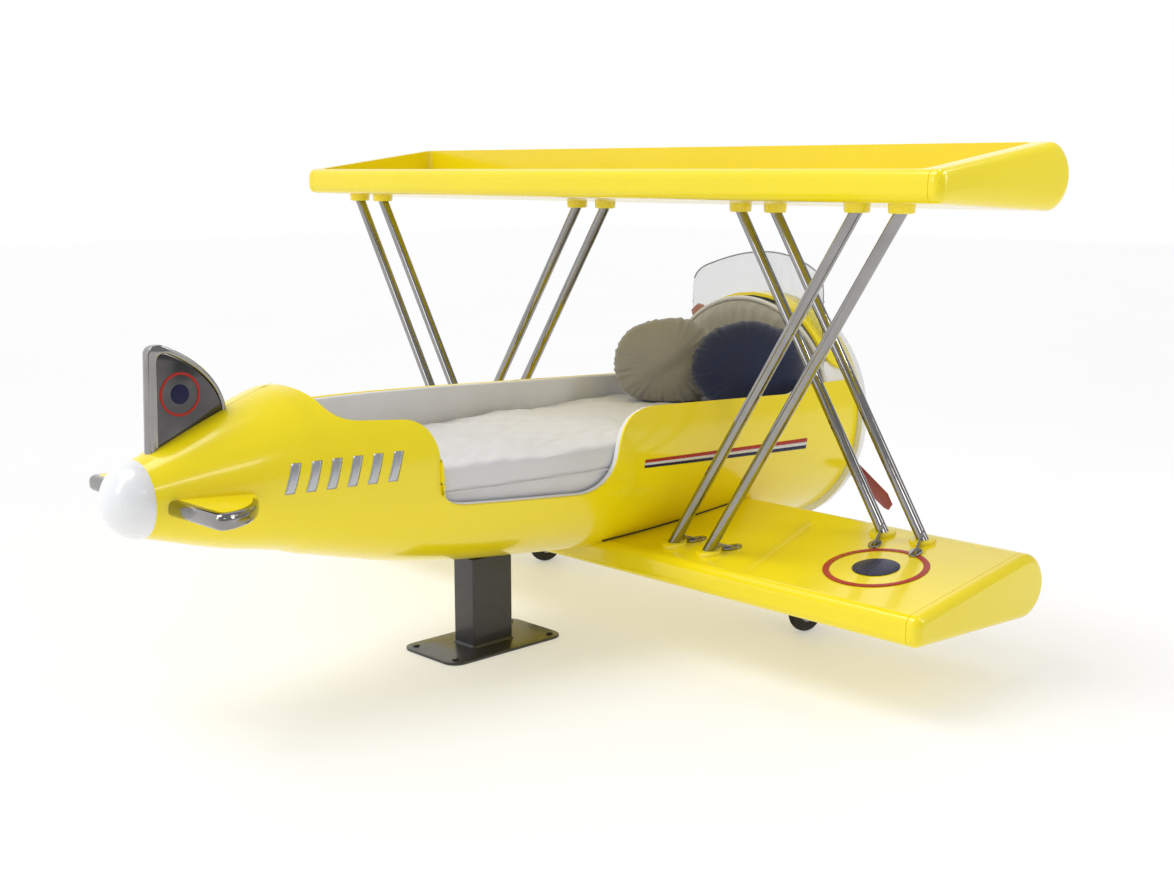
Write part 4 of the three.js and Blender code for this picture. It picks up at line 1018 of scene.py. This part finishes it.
# A thin rubber bead seals the lower wing's top to the hull on each side.
seal_x = np.linspace(WING_REAR + 6, WING_ROUND + 8, 60)
seal_z = wing_top(seal_x) + 0.5
seal_y = np.sqrt((along_hull(seal_x, 1) + 1.5) ** 2 - (seal_z - along_hull(seal_x, 2)) ** 2)
seal_beads = [bead(np.stack([seal_x, sign * seal_y, seal_z], 1), 3.2, (0, 0, 1)) for sign in (-1, 1)]
piece("wing_seal", join(seal_beads), rubber)
WHEEL_X, WHEEL_Y, WHEEL_R = 754, 712, 88
tyre_side = [(52, -16), (56, -19), (66, -21.5), (74, -22), (80, -20), (84, -16), (86.5, -11)]
tread = [(87.2, -9), (84.5, -8.4), (84.5, -6.6), (87.7, -6), (88, -2), (85, -1.2), (85, 1.2), (88, 2), (87.7, 6),
         (84.5, 6.6), (84.5, 8.4), (87.2, 9)]
tyre = tyre_side + tread + [(r, -y) for r, y in tyre_side[::-1]] + [(52, -16)]
disc = [(9.2, -20), (16, -20), (17, -14), (24, -9), (40, -8), (46, -12), (51.4, -15), (51.4, 15), (46, 12), (40, 8),
        (24, 9), (17, 14), (16, 20), (9.2, 20), (9.2, -20)]
for side, sign in [("port", 1), ("starboard", -1)]:
    wheel_y = sign * WHEEL_Y
    body = f"wheel_{side}"
    piece(f"tread_{side}", mesh_of([turned(tyre, "Y", WHEEL_R, 96, WHEEL_X, wheel_y)], around=True),
          rubber, [f"tyre_{side}"], body=body, crease=40)
    piece(f"wheel_disc_{side}", mesh_of([turned(disc, "Y", WHEEL_R, 72, WHEEL_X, wheel_y)], around=True),
          steel, [f"wheel_hub_{side}"], body=body, crease=40)
    under = wing_low(WHEEL_X) - 4
    cheek = outline((-18, under - WHEEL_R), [(-18, 0)], [(-18, -22), (0, -22)], [(18, -22), (18, 0)],
                    [(18, under - WHEEL_R)])
    mount = rounded_box(-45, 45, -45, 45, 10)[:-1]
    parts = [flat_plate([cheek], 6, 1.5,
                        lambda u, v, w, c=c, y=wheel_y: (WHEEL_X + u, y + c * 32 + w, WHEEL_R + v)) for c in (-1, 1)]
    parts.append(flat_plate([mount], 8, 1.5, lambda u, v, w, y=wheel_y: (WHEEL_X + u, y + v, under - 4 + w)))
    axle = turned([(0, -41), (11, -41), (12, -39), (12, -36), (8, -35.5), (8, 35.5), (12, 36), (12, 39), (11, 41),
                   (0, 41)], "Y", WHEEL_R, 32, WHEEL_X, wheel_y)
    parts.append(mesh_of([axle], around=True))
    piece(f"fork_{side}", join(parts), black, [f"wheel_fork_{side}"])

# The pedestal: a folded steel box post welded to a floor plate, both powder coated black.
foot_loop = rounded_box(-460, 60, -150, 150, 60)
plate_mesh = flat_plate([foot_loop], 10, 2.5, lambda u, v, w: (u, v, w + 5))
bolt_profile = [(0, 17), (9, 16.5), (12, 14), (12, 10.3), (16, 10.3), (16, 9), (0, 9)]
bolt_parts = []
for bolt_x in (-420, 20):
    for bolt_y in (-110, 110):
        bolt = turned(bolt_profile, "Z", 0, 24, bolt_x, bolt_y)
        bolt_parts.append(mesh_of([bolt], around=True))
piece("foot_plate", join([plate_mesh, *bolt_parts]), black, ["pedestal_base"])
post_loop = rounded_box(-290, -110, -55, 55, 8)
piece("post", padded_block(post_loop, [(-6, 10.3), (-5, 13), (0, 18), (0, 330)]), black,
      ["pedestal_post"])

# Hidden parts keep their engineered shape: the bed base with its vent holes is birch ply, oiled, the head
# panel is white, and the propeller's shaft and bearing and the wing spar are steel.


def ply_grain(here):
    """Long grain along the bed: noise stretched by a Mapping node, over fine pores."""
    long = here.node("ShaderNodeMapping", {}, {"Vector": here, "Scale": (1.2, 22, 22)})
    return surface((3, 6), (0.42, 0.28, 0.15), (0.66, 0.50, 0.32), 0.5, (9, 4), 0.2, (30, 3), 0.0003)(long)


ply = material("plywood", {"IOR": 1.4}, ply_grain)
for node, finish in [("bed_base", ply), ("headboard_panel", white), ("propeller_shaft", steel),
                     ("bearing_housing", steel), ("wing_spar", steel)]:
    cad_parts[node].data.materials.clear()
    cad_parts[node].data.materials.append(finish)

low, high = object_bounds()
